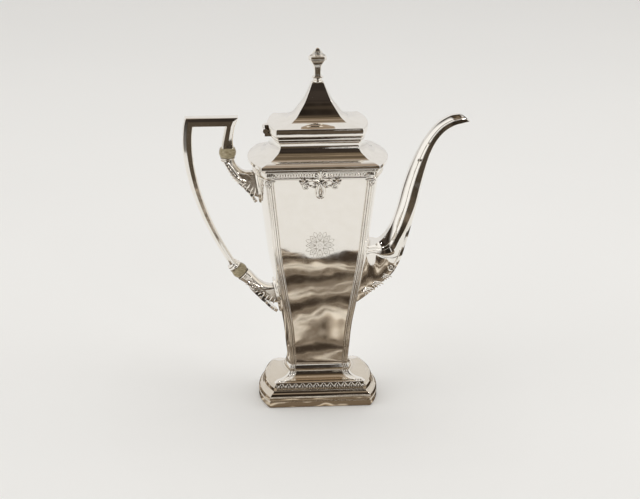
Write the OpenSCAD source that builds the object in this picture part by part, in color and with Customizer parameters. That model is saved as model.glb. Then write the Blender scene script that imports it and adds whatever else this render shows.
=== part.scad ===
// Silver coffee pot on a rectangular, bow-ended plan, with a hinged pagoda lid,
// a panelled swan-neck spout and a square-cornered handle on two heat breaks.
// Origin: centre of the foot's underside. +X spout, -X handle, -Y front, +Z up.

/* [Plan] */
// Depth of every level divided by its width between corners
depth_ratio = 0.75; // [0.7:0.01:0.8]
// Segments in each bowed end
bow_steps = 12; // [8:2:20]
// Thickness of the sheet silver
wall = 1.2; // [1:0.1:1.3]

/* [Heights] */
// Top of the foot's plinth
plinth_top = 10.7; // [10:0.1:11]
// Top of the ornamented foot band
foot_band_top = 17.6; // [17:0.1:18]
// Where the body stands on the foot
body_base = 25; // [24.5:0.1:25.5]
// Bottom of the frieze
frieze_base = 167.4; // [167:0.1:167.8]
// Top of the body shell
body_top = 174.6; // [174.2:0.1:175]
// Where the shoulder meets the neck
neck_base = 182.4; // [182:0.1:183]
// Bottom of the mouth ring
mouth_base = 193.2; // [193:0.1:193.5]
// Top of the mouth ring
mouth_top = 195.2; // [195:0.1:195.2]
// Bottom of the lid's rim
lid_base = 195.5; // [195.5:0.1:195.8]
// Top of the lid's rim
lid_rim_top = 201.3; // [201:0.1:201.6]
// Top of the lid's dome
dome_top = 228.9; // [228:0.1:229.5]
// Top of the finial
pot_height = 252.6; // [252:0.1:254]

/* [Corner half-widths] */
// Foot plinth
plinth_half = 35.6; // [35:0.1:36]
// Narrowest part of the stem
stem_half = 19.2; // [19:0.1:19.6]
// Body under the frieze
body_half = 36.2; // [36:0.1:36.4]
// Edge of the shoulder flange
flange_half = 40.3; // [40:0.1:40.6]
// Waist of the neck
neck_half = 26.8; // [26.6:0.1:27]
// Mouth ring
mouth_half = 28.5; // [28.3:0.1:28.7]
// Edge of the lid's rim
lid_half = 29.7; // [29.5:0.1:29.9]
// Foot of the lid's dome
dome_half = 18.5; // [18:0.1:19]

/* [Handle] */
// Width of the handle across the pot
handle_width = 8; // [7:0.5:9]
// Chamfer along the handle's edges
handle_chamfer = 1.3; // [1:0.1:1.5]
// Radius of the upper heat break
break_radius = 6; // [5.5:0.1:6.2]
// Length of each heat break
break_length = 7; // [6.5:0.1:7]
// Radius of the tenons on the heat breaks
tenon_radius = 2; // [1.8:0.1:2.2]

/* [Lid hinge] */
// Distance of the hinge axis from the pot's axis
hinge_reach = 36.1; // [36:0.1:36.4]
// Height of the hinge axis
hinge_height = 196.4; // [196.3:0.1:196.6]
// Radius of the knuckles
knuckle_radius = 1.8; // [1.7:0.05:1.9]
// Radius of the hinge pin
hinge_pin_radius = 0.8; // [0.7:0.05:0.9]

/* [Hidden] */
$fn = 48;
silver = [0.86, 0.84, 0.80];
bright_silver = [0.93, 0.92, 0.89];
shaded_silver = [0.70, 0.68, 0.63];
bone = [0.55, 0.52, 0.36];
fit_gap = 0.02;
reach_past = 1;

// Each profile row is [height, corner half-width, bow reach / half-width].
bow_foot = 1.177;
bow_stem = 1.12;
bow_top = 1.18;
bow_flange = 1.2;
bow_lid = 1.165;
cove_half = 28.2;
cove_base = 18.3;
stem_top_half = 20.1;
cove_steps = 5;
foot_rows = concat([
    [0, plinth_half - 0.8, bow_foot],
    [1, plinth_half, bow_foot],
    [plinth_top - 1.2, plinth_half, bow_foot],
    [plinth_top, plinth_half - 1, bow_foot],
    [plinth_top + 1.2, plinth_half - 3.6, bow_foot],
    [foot_band_top, plinth_half - 4.7, bow_foot],
    [cove_base - 0.1, cove_half + 0.5, bow_foot]],
    [for (i = [0:cove_steps]) let (a = 90 * i / cove_steps)
        [cove_base + (body_base - cove_base) * (1 - cos(a)),
        cove_half - (cove_half - stem_top_half) * sin(a),
        bow_foot + (bow_stem - bow_foot) * i / cove_steps]]);
body_rows = curved([
    [body_base, stem_top_half, bow_stem],
    [29, stem_half, bow_stem],
    [40, stem_half + 0.8, 1.13],
    [56, stem_half + 2.2, 1.14],
    [78, stem_half + 5.8, 1.155],
    [108, stem_half + 10.6, 1.165],
    [130, body_half - 4, 1.165],
    [153, body_half - 1.5, 1.17],
    [frieze_base, body_half, bow_top],
    [body_top, body_half + 0.4, bow_flange]], 2);
shoulder_rows = [
    [body_top, flange_half - 2.2, bow_flange],
    [body_top + 0.6, flange_half - 0.4, bow_flange],
    [body_top + 1.1, flange_half, bow_flange],
    [body_top + 2.1, flange_half, bow_flange],
    [body_top + 2.6, flange_half - 0.7, bow_flange],
    [body_top + 3.8, flange_half - 3.4, bow_flange - 0.01],
    [body_top + 5.4, flange_half - 6.4, bow_flange - 0.03],
    [neck_base, mouth_half + 1.8, bow_lid + 0.01]];
neck_rows = curved([
    [neck_base, mouth_half + 1.8, bow_lid + 0.01],
    [185.5, neck_half + 0.8, bow_lid],
    [189.5, neck_half, bow_lid],
    [mouth_base, neck_half + 0.9, bow_lid]], 2);
mouth_rows = [
    [mouth_base, mouth_half - 0.3, bow_lid],
    [mouth_base + 0.4, mouth_half, bow_lid],
    [mouth_top - 0.4, mouth_half, bow_lid],
    [mouth_top, mouth_half - 0.3, bow_lid]];
lid_rim_rows = [
    [lid_base, lid_half - 1.1, bow_lid],
    [lid_base + 0.6, lid_half - 0.6, bow_lid],
    [lid_base + 1.6, lid_half - 0.9, bow_lid],
    [lid_base + 3.6, lid_half - 0.8, bow_lid],
    [lid_base + 4.6, lid_half, bow_lid],
    [lid_rim_top, lid_half, bow_lid]];
dome_rows = concat([
    [lid_rim_top, lid_half - 0.3, bow_lid],
    [lid_rim_top + 0.6, dome_half + 2, bow_lid]],
    curved([
    [lid_rim_top + 1.5, dome_half, bow_lid],
    [207, 15.1, 1.15],
    [211.5, 12.2, 1.14],
    [216.5, 9.1, 1.12],
    [223, 6.3, 1.1],
    [dome_top, 4.1, 1.08]], 2));

// Handle side view: two cubic curves, the outer and the inner edge of the grip.
handle_outer = [[-90.9, 205.6], [-97, 184], [-89.5, 141], [-58.9, 95.2]];
handle_inner = [[-85.2, 199], [-88.5, 178], [-83, 140], [-55.5, 97.9]];
handle_steps = 14;
drop_rows = [
    [[-57.8, 183.6], [-66, 183.6]],
    [[-58.2, 187], [-65.8, 187]],
    [[-58.1, 191.5], [-64.9, 191.5]],
    [[-57, 198.7], [-63.4, 198.8]]];
top_right_corner = [[-54.3, 205.6], [-63.4, 199]];
upper_break_center = [-62, 180.1];
upper_break_axis = [0, -1];
lower_break_center = [-54.8, 94.1];
lower_break_axis = [0.70, -0.714];
tenon_length = 3;
break_pin_radius = 0.6;
ferrule_radius = 4.7;
ferrule_length = 4.4;
ferrule_gap = 0.1;

// Side views of the sockets: pairs [outer edge, inner edge].
upper_socket_rows = [
    [[-66.6, 176.9], [-57.2, 176.9]],
    [[-65.4, 174.6], [-57.6, 175]],
    [[-62.8, 169.4], [-55.4, 170.4]],
    [[-59.4, 163.4], [-51.4, 167]],
    [[-54.6, 158], [-46.6, 166.4]],
    [[-46.6, 150.6], [-38, 166.4]],
    [[-36, 149], [-34, 166.4]]];
lower_socket_rows = [
    [[-55.6, 88.3], [-48.9, 94.9]],
    [[-52, 86], [-45.7, 91.9]],
    [[-46, 80.8], [-40.5, 86.3]],
    [[-40.5, 75.8], [-35.5, 83.6]],
    [[-33.5, 71], [-30, 83.4]],
    [[-22, 69], [-22, 83.4]]];
socket_half_width = 4.4;
plate_thickness = 1.5;

// Spout side view: outer edge and inner edge, the half-width there, the half-width of the
// flat inner face as a share of it, and the places of the section's two ridges.
spout_rows = [
    [24, 68, 26, 113.3, 13.5, 0.85, 0.12, 0.3],
    [33.1, 74.2, 33, 113.3, 12, 0.85, 0.12, 0.3],
    [42.9, 82.2, 38.5, 113.3, 9.6, 0.85, 0.16, 0.32],
    [52.5, 90.8, 42.5, 114.2, 7.8, 0.7, 0.24, 0.45],
    [58, 101.5, 46, 117.3, 6.9, 0.5, 0.36, 0.7],
    [61.2, 111.8, 49.3, 121.8, 6.4, 0.42, 0.4, 0.75],
    [64.5, 123.7, 52.6, 128.6, 6.1, 0.42, 0.4, 0.8],
    [68.6, 139, 56.4, 140.9, 5.9, 0.42, 0.42, 0.84],
    [71.5, 152, 59.7, 154, 5.7, 0.42, 0.42, 0.86],
    [74.7, 164.8, 64.3, 167.4, 5.6, 0.42, 0.42, 0.85],
    [78.2, 177, 70.2, 180.1, 5.4, 0.42, 0.42, 0.85],
    [83, 186, 76.4, 190.6, 5.2, 0.42, 0.42, 0.85],
    [88.6, 192.4, 83.2, 198.5, 5, 0.42, 0.42, 0.85],
    [94.7, 196.1, 91, 203.2, 4.8, 0.42, 0.42, 0.85],
    [100.2, 197.5, 96, 204.3, 4.4, 0.42, 0.42, 0.85],
    [105.4, 198.7, 98.6, 204.3, 3.8, 0.42, 0.42, 0.85]];
spout_flat = 0.42;
spout_fullness = 0.9;
strainer_radius = 1.5;
strainer_pitch = 7;
strainer_base = 78;
strainer_rows = 5;

// Catmull-Rom curve through rows of numbers, with n steps between rows.
function curve_point(a, b, c, d, t) =
    ((2 * b) + (c - a) * t + (2 * a - 5 * b + 4 * c - d) * t * t
    + (3 * b - a - 3 * c + d) * t * t * t) / 2;
function curved(p, n) = concat([for (i = [0:len(p) - 2]) for (k = [0:n - 1])
    curve_point(p[max(i - 1, 0)], p[i], p[i + 1], p[min(i + 2, len(p) - 1)], k / n)],
    [p[len(p) - 1]]);
function bezier(p, t) = p[0] * pow(1 - t, 3) + p[1] * 3 * t * pow(1 - t, 2)
    + p[2] * 3 * t * t * (1 - t) + p[3] * pow(t, 3);

// Outline of one level: straight front and back, ends bowed as parabolas.
function level(row, inset = 0, z_shift = 0) = let (
    c = row[1] - inset,
    d = row[1] * depth_ratio - inset,
    b = row[1] * row[2] - inset)
    concat(
        [for (i = [0:bow_steps]) let (u = 2 * i / bow_steps - 1)
            [c + (b - c) * (1 - u * u), d * u, row[0] + z_shift]],
        [for (i = [0:bow_steps]) let (u = 1 - 2 * i / bow_steps)
            [-c - (b - c) * (1 - u * u), d * u, row[0] + z_shift]]);

// Solid through a list of rings with equal numbers of points.
module loft(rings) {
    n = len(rings[0]);
    m = len(rings);
    points = [for (r = rings) each r];
    sides = [for (j = [0:m - 2]) for (i = [0:n - 1]) let (k = (i + 1) % n) each
        [[j * n + i, (j + 1) * n + i, (j + 1) * n + k],
        [j * n + i, (j + 1) * n + k, j * n + k]]];
    bottom = [[for (i = [0:n - 1]) i]];
    top = [[for (i = [n - 1:-1:0]) (m - 1) * n + i]];
    polyhedron(points, concat(sides, bottom, top), 4);
}

module turned(rows, inset = 0) {
    loft([for (r = rows) level(r, inset)]);
}

// The same solid, run on past both ends so that it cuts cleanly through them.
module turned_cutter(rows, inset) {
    last = len(rows) - 1;
    loft(concat([level(rows[0], inset, -reach_past)],
        [for (r = rows) level(r, inset)],
        [level(rows[last], inset, reach_past)]));
}

module sheet(rows, thickness = wall) {
    difference() {
        turned(rows);
        turned_cutter(rows, thickness);
    }
}

// Chamfered bar through pairs of side-view points.
function bar_ring(pair, half, chamfer) = let (
    o = pair[0], i = pair[1], u = (i - o) / norm(i - o) * chamfer,
    a = o + u, b = i - u)
    [[o[0], chamfer - half, o[1]], [o[0], half - chamfer, o[1]],
    [a[0], half, a[1]], [b[0], half, b[1]],
    [i[0], half - chamfer, i[1]], [i[0], chamfer - half, i[1]],
    [b[0], -half, b[1]], [a[0], -half, a[1]]];
module bar(pairs, half, chamfer) {
    loft([for (p = pairs) bar_ring(p, half, chamfer)]);
}

// Cylinder along a direction that lies in the pot's long vertical plane.
module rod(center, axis, from, to, radius) {
    translate([center[0], 0, center[1]])
        rotate([0, atan2(axis[0], axis[1]), 0])
            translate([0, 0, from])
                cylinder(h = to - from, r = radius);
}
module cross_rod(center, radius, length) {
    translate([center[0], 0, center[1]])
        rotate([90, 0, 0])
            cylinder(h = length, r = radius, center = true);
}
function along(center, axis, distance) = center + axis * distance;

module foot() {
    color(silver) sheet(foot_rows, wall + 0.2);
}

// Band of leaves on the straight front and back of the foot.
module foot_band(side) {
    low = foot_rows[4];
    high = foot_rows[5];
    margin = 2.2;
    proud = 1;
    color(bright_silver)
        loft([for (r = [low, high]) let (w = r[1] - margin, d = r[1] * depth_ratio)
            side < 0
            ? [[-w, -d - proud, r[0]], [w, -d - proud, r[0]], [w, -d, r[0]], [-w, -d, r[0]]]
            : [[-w, d, r[0]], [w, d, r[0]], [w, d + proud, r[0]], [-w, d + proud, r[0]]]]);
}

module strainer_holes() {
    for (j = [0:strainer_rows - 1])
        for (i = [-1:1])
            translate([0, (i + (j % 2) / 2 - 0.25) * strainer_pitch * 0.8,
                strainer_base + j * strainer_pitch])
                rotate([0, 90, 0])
                    cylinder(h = 60, r = strainer_radius, $fn = 24);
}

module body_shell() {
    color(silver) difference() {
        sheet(body_rows);
        strainer_holes();
    }
}

module body_floor() {
    plate_base = 26;
    thickness = 1.4;
    color(shaded_silver)
        loft([level([plate_base, stem_half, bow_stem], wall + 0.1),
            level([plate_base + thickness, stem_half, bow_stem], wall + 0.1)]);
}

module frieze_band() {
    color(bright_silver) difference() {
        turned([[frieze_base, body_half + 1.1, bow_flange],
            [frieze_base + 0.8, body_half + 1.6, bow_flange],
            [body_top - 1.8, body_half + 1.9, bow_flange],
            [body_top, body_half + 2.3, bow_flange]]);
        turned_cutter(body_rows, 0);
    }
}

module shoulder_cover() {
    color(silver) sheet(shoulder_rows, wall + 1);
}

module neck_collar() {
    color(shaded_silver) sheet(neck_rows);
}

module mouth_ring() {
    color(bright_silver) sheet(mouth_rows);
}

// Reeded strip that wraps one vertical corner of the body.
pilaster_base = 28;
pilaster_proud = 0.9;
module pilaster(side_x, side_y) {
    wide = 4.4;
    narrow = 3;
    wrap = 2.6;
    sunk = 0.5;
    rows = [for (r = body_rows) if (r[0] > pilaster_base && r[0] <= frieze_base) r];
    color(bright_silver) difference() {
        mirror([side_x < 0 ? 1 : 0, 0, 0])
            mirror([0, side_y < 0 ? 1 : 0, 0])
                loft([for (r = rows) let (
                    w = narrow + (wide - narrow) * (r[0] - pilaster_base)
                        / (frieze_base - pilaster_base),
                    c = r[1], d = c * depth_ratio, u = 1 - wrap / d,
                    x = c + c * (r[2] - 1) * (1 - u * u), y = d * u)
                    [[c - w, d - sunk, r[0]],
                    [x - sunk, y - sunk / 2, r[0]],
                    [x + pilaster_proud * 0.9, y + pilaster_proud * 0.4, r[0]],
                    [c + pilaster_proud * 0.6, d + pilaster_proud, r[0]],
                    [c - w, d + pilaster_proud, r[0]]]]);
        turned(body_rows);
    }
}

// Scroll capital at the head of each pilaster.
module capitals(side_y) {
    capital_radius = 2.6;
    capital_height = frieze_base - capital_radius - 0.1;
    depth = body_half * depth_ratio;
    color(bright_silver) difference() {
        for (side_x = [-1, 1])
            translate([side_x * (body_half - 1.2), side_y * (depth - 1), capital_height])
                rotate([-90 * side_y, 0, 0])
                    cylinder(h = 3.2, r = capital_radius);
        turned(body_rows, -pilaster_proud);
    }
}

// Shell and scroll ornament with a drop, under the frieze.
module cartouche(side_y) {
    depth = body_half * depth_ratio;
    sunk = 1.6;
    scroll_radius = 2.7;
    color(bright_silver) difference() {
        translate([0, side_y * (depth - sunk), frieze_base])
            rotate([90, 0, 0])
                linear_extrude(2 * (sunk + 1.2), center = true) {
                    for (side_x = [-1, 1]) {
                        translate([side_x * 9.6, -4.3]) circle(scroll_radius);
                        translate([side_x * 5, -3.4]) circle(scroll_radius);
                    }
                    translate([0, -1.3]) square([28, 2.6], center = true);
                    translate([0, -4.5]) circle(scroll_radius + 1);
                    translate([0, -8.8]) circle(scroll_radius + 0.6);
                    translate([0, -11.6]) circle(scroll_radius - 0.6);
                }
        turned(body_rows);
    }
}

// Eight-sided section with two ridges along each side.
function spout_ring(row, inset = 0) = let (
    o = [row[0], row[1]], i = [row[2], row[3]], u = (i - o) / norm(i - o),
    a = o + u * inset, b = i - u * inset, half = row[4] - inset,
    low = b + (a - b) * row[7], high = b + (a - b) * row[6],
    flat = half * spout_flat, top = half * row[5], full = half * spout_fullness)
    [[a[0], -flat, a[1]], [a[0], flat, a[1]], [low[0], full, low[1]],
    [high[0], half, high[1]], [b[0], top, b[1]], [b[0], -top, b[1]],
    [high[0], -half, high[1]], [low[0], -full, low[1]]];
spout_steps = 2;
module spout_solid(inset) {
    rows = curved(spout_rows, spout_steps);
    last = len(rows) - 1;
    past = [3.2, 1.2, 3.2, 1.2, 0, 0, 0, 0];
    ends = inset > 0 ? [spout_ring(rows[last] + past, inset)] : [];
    loft(concat([for (r = rows) spout_ring(r, inset)], ends));
}
module spout() {
    color(silver) difference() {
        spout_solid(0);
        spout_solid(wall);
        turned(body_rows);
    }
}

// Leaf laid over the lower part of the spout's belly.
leaf_rows = 4;
module spout_leaf(side_y) {
    proud = 1;
    sunk = 0.6;
    rows = curved([for (i = [0:leaf_rows]) spout_rows[i]], spout_steps);
    color(bright_silver) difference() {
        mirror([0, side_y < 0 ? 1 : 0, 0])
            loft([for (r = rows) let (g = spout_ring(r), low = g[1],
                ridge = (g[1] + g[2]) / 2)
                [[low[0], low[1] - sunk, low[2] + sunk],
                [low[0] + proud / 2, low[1] + proud, low[2] - proud / 2],
                [ridge[0], ridge[1] + proud, ridge[2]],
                [ridge[0], ridge[1] - sunk, ridge[2]]]]);
        spout_solid(0);
        turned(body_rows);
    }
}

module handle_grip() {
    back = [for (i = [1:handle_steps]) let (t = i / handle_steps)
        [bezier(handle_outer, t), bezier(handle_inner, t)]];
    pairs = concat(drop_rows, [top_right_corner], [[handle_outer[0], handle_inner[0]]], back);
    half = break_length / 2;
    color(silver) difference() {
        union() {
            bar(pairs, handle_width / 2, handle_chamfer);
            rod(lower_break_center, lower_break_axis, -half - ferrule_length, -half,
                ferrule_radius);
        }
        rod(lower_break_center, lower_break_axis, -half, half, break_radius + reach_past);
        rod(lower_break_center, lower_break_axis, -half - tenon_length - ferrule_gap,
            -half + reach_past, tenon_radius + fit_gap);
        rod(upper_break_center, upper_break_axis, -half - tenon_length - ferrule_gap,
            -half + reach_past, tenon_radius + fit_gap);
        break_pin_holes(-1);
    }
}

module break_pin_holes(end) {
    offset_along = end * (break_length + tenon_length) / 2;
    cross_rod(along(upper_break_center, upper_break_axis, offset_along),
        break_pin_radius + fit_gap, 30);
    cross_rod(along(lower_break_center, lower_break_axis, offset_along),
        break_pin_radius + fit_gap, 30);
}

// Barrel-shaped heat break with a tenon at each end.
module heat_break(center, axis, radius) {
    half = break_length / 2;
    bulge = 0.9;
    color(bone) difference() {
        translate([center[0], 0, center[1]])
            rotate([0, atan2(axis[0], axis[1]), 0])
                rotate_extrude()
                    polygon(concat(
                        [[0, -half - tenon_length], [tenon_radius, -half - tenon_length],
                        [tenon_radius, -half]],
                        [for (i = [-4:4]) let (u = i / 4)
                            [radius - bulge * u * u, half * u]],
                        [[tenon_radius, half], [tenon_radius, half + tenon_length],
                        [0, half + tenon_length]]));
        break_pin_holes(-1);
        break_pin_holes(1);
    }
}
module upper_heat_break() {
    heat_break(upper_break_center, upper_break_axis, break_radius);
}
module lower_heat_break() {
    heat_break(lower_break_center, lower_break_axis, break_radius - 0.6);
}

module break_pins(center, axis) {
    offset_along = (break_length + tenon_length) / 2;
    color(shaded_silver)
        for (end = [-1, 1])
            cross_rod(along(center, axis, end * offset_along), break_pin_radius,
                handle_width);
}

// Cast arm between the body and a heat break.
module handle_socket(rows, center, axis) {
    half = break_length / 2;
    color(silver) difference() {
        bar(curved(rows, 2), socket_half_width, handle_chamfer + 0.5);
        turned(body_rows, -plate_thickness);
        rod(center, axis, half - reach_past, half + tenon_length + ferrule_gap,
            tenon_radius + fit_gap);
        rod(center, axis, -half, half, break_radius + reach_past);
        break_pin_holes(1);
    }
}

// Plate soldered to the bowed end of the body under a socket.
module socket_plate(low, high, half) {
    tip = 3;
    color(bright_silver) difference() {
        intersection() {
            turned(body_rows, -plate_thickness);
            rotate([90, 0, -90])
                linear_extrude(60)
                    polygon([[-half, high], [-half, low + tip * 2], [-half / 2, low + tip / 2],
                        [0, low], [half / 2, low + tip / 2], [half, low + tip * 2],
                        [half, high]]);
        }
        turned(body_rows);
    }
}
upper_plate_low = 143;
upper_plate_high = 167;
lower_plate_low = 62.5;
lower_plate_high = 87.5;

// Leaf that curls from the plate to the underside of the socket.
module socket_leaf(rows, socket_rows) {
    color(bright_silver) difference() {
        bar(curved(rows, 2), socket_half_width - 0.4, 0.6);
        bar(curved(socket_rows, 2), socket_half_width, handle_chamfer + 0.5);
        turned(body_rows, -plate_thickness);
    }
}
upper_leaf_rows = [[[-58.2, 161], [-55, 163.2]], [[-53, 155.6], [-49.2, 159]],
    [[-48, 150], [-44, 153.2]], [[-45.2, 145.8], [-40.5, 148]],
    [[-42.8, 143.6], [-40.4, 144.6]]];
lower_leaf_rows = [[[-47.6, 81], [-45, 83]], [[-42.6, 75.6], [-39, 78]],
    [[-37, 70.2], [-32, 73]], [[-32.4, 65.4], [-27, 67]],
    [[-28.6, 63.4], [-24, 64.4]]];

knuckle_length = 5.7;
knuckle_gap = 0.3;
hinge_half_length = 7;
module knuckle(from, to, bore) {
    translate([-hinge_reach, from, hinge_height])
        rotate([-90, 0, 0])
            difference() {
                cylinder(h = to - from, r = knuckle_radius);
                translate([0, 0, -reach_past])
                    cylinder(h = to - from + 2 * reach_past, r = bore);
            }
}

module body_hinge_leaf() {
    inner = knuckle_length / 2 + knuckle_gap;
    leaf_length = hinge_half_length - inner;
    leaf_base = 192.8;
    leaf_depth = 5;
    color(bright_silver)
        for (side = [-1, 1])
            mirror([0, side < 0 ? 1 : 0, 0]) {
                knuckle(inner, hinge_half_length, hinge_pin_radius + fit_gap / 2);
                difference() {
                    translate([-hinge_reach - 0.6, inner, leaf_base])
                        cube([leaf_depth, leaf_length, mouth_top - leaf_base]);
                    turned(neck_rows);
                    turned(mouth_rows);
                    translate([-hinge_reach, -reach_past, hinge_height])
                        rotate([-90, 0, 0])
                            cylinder(h = 4 * hinge_half_length, r = knuckle_radius - 0.3);
                }
            }
}

module hinge_pin() {
    color(shaded_silver)
        cross_rod([-hinge_reach, hinge_height], hinge_pin_radius, 2 * hinge_half_length + 0.4);
}

module lid_hinge_leaf() {
    half = knuckle_length / 2;
    leaf_rise = 3.4;
    color(bright_silver) union() {
        knuckle(-half, half, hinge_pin_radius + 2 * fit_gap);
        difference() {
            translate([-hinge_reach - 0.4, -half, hinge_height])
                cube([4, knuckle_length, leaf_rise]);
            turned(lid_rim_rows);
            translate([-hinge_reach, -hinge_half_length, hinge_height])
                rotate([-90, 0, 0])
                    cylinder(h = 2 * hinge_half_length, r = knuckle_radius - 0.3);
        }
    }
}

module lid_rim() {
    color(silver) sheet(lid_rim_rows, wall + 1);
}

dome_hollow_top = 222.5;
stud_radius = 1.25;
module lid_cover() {
    hollow = [for (r = dome_rows) if (r[0] < dome_hollow_top) r];
    last = hollow[len(hollow) - 1];
    rim_inset = 1.9;
    color(silver) difference() {
        turned(dome_rows);
        loft(concat([level(dome_rows[0], rim_inset, -reach_past),
            level(dome_rows[0], rim_inset, -0.6)],
            [for (i = [1:len(hollow) - 1]) level(hollow[i], wall, -0.6)],
            [level([dome_hollow_top, last[1] - 1, last[2]], wall)]));
        cylinder(h = 300, r = stud_radius + fit_gap);
    }
}

// Ring under the lid that centres it in the neck.
module lid_bezel() {
    bezel_base = 191.5;
    clearance = 0.8;
    row_low = [bezel_base, neck_half, bow_lid];
    row_high = [lid_base, neck_half, bow_lid];
    rows = [row_low, row_high];
    flange_top = lid_base + 1;
    rim_inside = lid_rim_rows[0][1];
    flange = [[lid_base, rim_inside, bow_lid], [flange_top, rim_inside, bow_lid]];
    color(shaded_silver) difference() {
        union() {
            turned(rows, wall + clearance);
            turned(flange, wall + 1 + fit_gap);
        }
        turned_cutter([row_low, [flange_top, neck_half, bow_lid]], 2 * wall + clearance);
    }
}

finial_base = dome_top;
finial_seat = 231.9;
module finial_collar() {
    color(bright_silver) difference() {
        rotate_extrude() polygon([[0, finial_base], [3.3, finial_base], [3.6, finial_base + 0.7],
            [3.3, finial_base + 1.4], [2.5, finial_base + 1.8], [3.4, finial_base + 2.4],
            [3.4, finial_seat], [0, finial_seat]]);
        cylinder(h = 300, r = stud_radius + fit_gap);
    }
}

// Baluster on the same bow-ended plan as the pot, a little deeper for its width.
module finial() {
    bow = 1.36;
    deeper = 1.2;
    profile = [[finial_seat, 2.8], [232.4, 2.9], [233.2, 2.2], [234.2, 2], [238, 2],
        [241.2, 2.8], [241.6, 2.7], [242.2, 3.4], [244.2, 4.2], [244.6, 4.65], [246.9, 4.65],
        [247.2, 4.3], [248.6, 3], [250.4, 2], [251.6, 1.5], [pot_height, 0.7]];
    color(bright_silver) difference() {
        loft([for (p = profile) [for (q = level([p[0], p[1], bow]))
            [q[0], q[1] * deeper, q[2]]]]);
        translate([0, 0, finial_seat - reach_past])
            cylinder(h = 7, r = stud_radius + fit_gap);
    }
}

stud_base = 218.6;
washer_thickness = 1;
nut_height = 2;
module finial_stud() {
    color(shaded_silver)
        translate([0, 0, stud_base])
            cylinder(h = finial_seat + 5.5 - stud_base, r = stud_radius);
}
module finial_washer() {
    color(shaded_silver)
        translate([0, 0, dome_hollow_top - washer_thickness])
            difference() {
                cylinder(h = washer_thickness, r = 3);
                translate([0, 0, -reach_past]) cylinder(h = 4, r = stud_radius + fit_gap);
            }
}
module finial_nut() {
    color(shaded_silver)
        translate([0, 0, dome_hollow_top - washer_thickness - nut_height])
            difference() {
                cylinder(h = nut_height, r = 2.8, $fn = 6);
                translate([0, 0, -reach_past]) cylinder(h = 6, r = stud_radius + fit_gap);
            }
}

foot();
foot_band(-1);  // foot_band_front
foot_band(1);  // foot_band_back
body_shell();
body_floor();
frieze_band();
shoulder_cover();
neck_collar();
mouth_ring();
pilaster(-1, -1);  // pilaster_front_left
pilaster(1, -1);  // pilaster_front_right
pilaster(-1, 1);  // pilaster_back_left
pilaster(1, 1);  // pilaster_back_right
capitals(-1);  // capitals_front
capitals(1);  // capitals_back
cartouche(-1);  // cartouche_front
cartouche(1);  // cartouche_back
spout();
spout_leaf(-1);  // spout_leaf_front
spout_leaf(1);  // spout_leaf_back
handle_grip();
upper_heat_break();
lower_heat_break();
break_pins(upper_break_center, upper_break_axis);  // upper_break_pins
break_pins(lower_break_center, lower_break_axis);  // lower_break_pins
handle_socket(upper_socket_rows, upper_break_center, upper_break_axis);  // upper_handle_socket
handle_socket(lower_socket_rows, lower_break_center, lower_break_axis);  // lower_handle_socket
socket_plate(upper_plate_low, upper_plate_high, 7.5);  // upper_socket_plate
socket_plate(lower_plate_low, lower_plate_high, 6.5);  // lower_socket_plate
socket_leaf(upper_leaf_rows, upper_socket_rows);  // upper_socket_leaf
socket_leaf(lower_leaf_rows, lower_socket_rows);  // lower_socket_leaf
body_hinge_leaf();
hinge_pin();
lid_rim();
lid_cover();
lid_bezel();
lid_hinge_leaf();
finial_collar();
finial();
finial_stud();
finial_washer();
finial_nut();
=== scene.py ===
from math import acos, cos, degrees, exp, hypot, pi, radians, sin, sqrt

import bmesh
import bpy
import numpy as np
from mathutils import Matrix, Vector


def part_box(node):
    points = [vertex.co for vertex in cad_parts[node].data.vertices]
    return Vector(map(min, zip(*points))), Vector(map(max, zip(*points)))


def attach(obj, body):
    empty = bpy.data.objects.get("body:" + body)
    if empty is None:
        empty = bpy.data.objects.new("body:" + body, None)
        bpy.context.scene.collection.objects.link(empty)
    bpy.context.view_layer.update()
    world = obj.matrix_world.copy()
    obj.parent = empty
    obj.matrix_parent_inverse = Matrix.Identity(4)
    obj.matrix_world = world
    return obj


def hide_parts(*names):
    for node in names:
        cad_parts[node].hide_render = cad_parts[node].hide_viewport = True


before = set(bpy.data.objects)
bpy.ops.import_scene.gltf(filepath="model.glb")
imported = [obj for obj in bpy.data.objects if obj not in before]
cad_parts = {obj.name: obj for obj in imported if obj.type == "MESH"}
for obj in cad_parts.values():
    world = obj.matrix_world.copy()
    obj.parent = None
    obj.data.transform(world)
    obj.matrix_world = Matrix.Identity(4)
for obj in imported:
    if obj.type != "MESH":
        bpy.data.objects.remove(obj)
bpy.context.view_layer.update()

MM = 0.001

# ---------------- driving sizes, in millimetres
# Most heights and widths where pieces meet come from the CAD nodes; the others are written out.


def low(node):
    """Lowest corner of a CAD node's box."""
    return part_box(node)[0] / MM


def high(node):
    """Highest corner of a CAD node's box."""
    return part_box(node)[1] / MM


DEPTH_RATIO = 0.75
WALL = 1.2
PLINTH_HALF = high("foot").y / DEPTH_RATIO
FLANGE_HALF = high("shoulder_cover").y / DEPTH_RATIO
FRIEZE_HALF = high("frieze_band").y / DEPTH_RATIO
BODY_BASE = low("body_shell").z
BODY_TOP = high("body_shell").z
FRIEZE_BASE = low("frieze_band").z
NECK_BASE = low("neck_collar").z
MOUTH_BASE = low("mouth_ring").z
MOUTH_TOP = high("mouth_ring").z
LID_BASE = low("lid_rim").z
LID_RIM_TOP = high("lid_rim").z
DOME_TOP = high("lid_cover").z
POT_TOP = high("finial").z
LID_HALF = high("lid_rim").y / DEPTH_RATIO
BODY_HALF = FRIEZE_HALF - 2.3
STEM_HALF = 19.2
STEM_TOP_HALF = 20.1
NECK_HALF = 26.8
MOUTH_HALF = high("mouth_ring").y / DEPTH_RATIO
DOME_HALF = 18.5
BOW_FOOT = 1.177
BOW_STEM = 1.12
BOW_TOP = 1.18
BOW_FLANGE = 1.2
BOW_LID = 1.165
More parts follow.
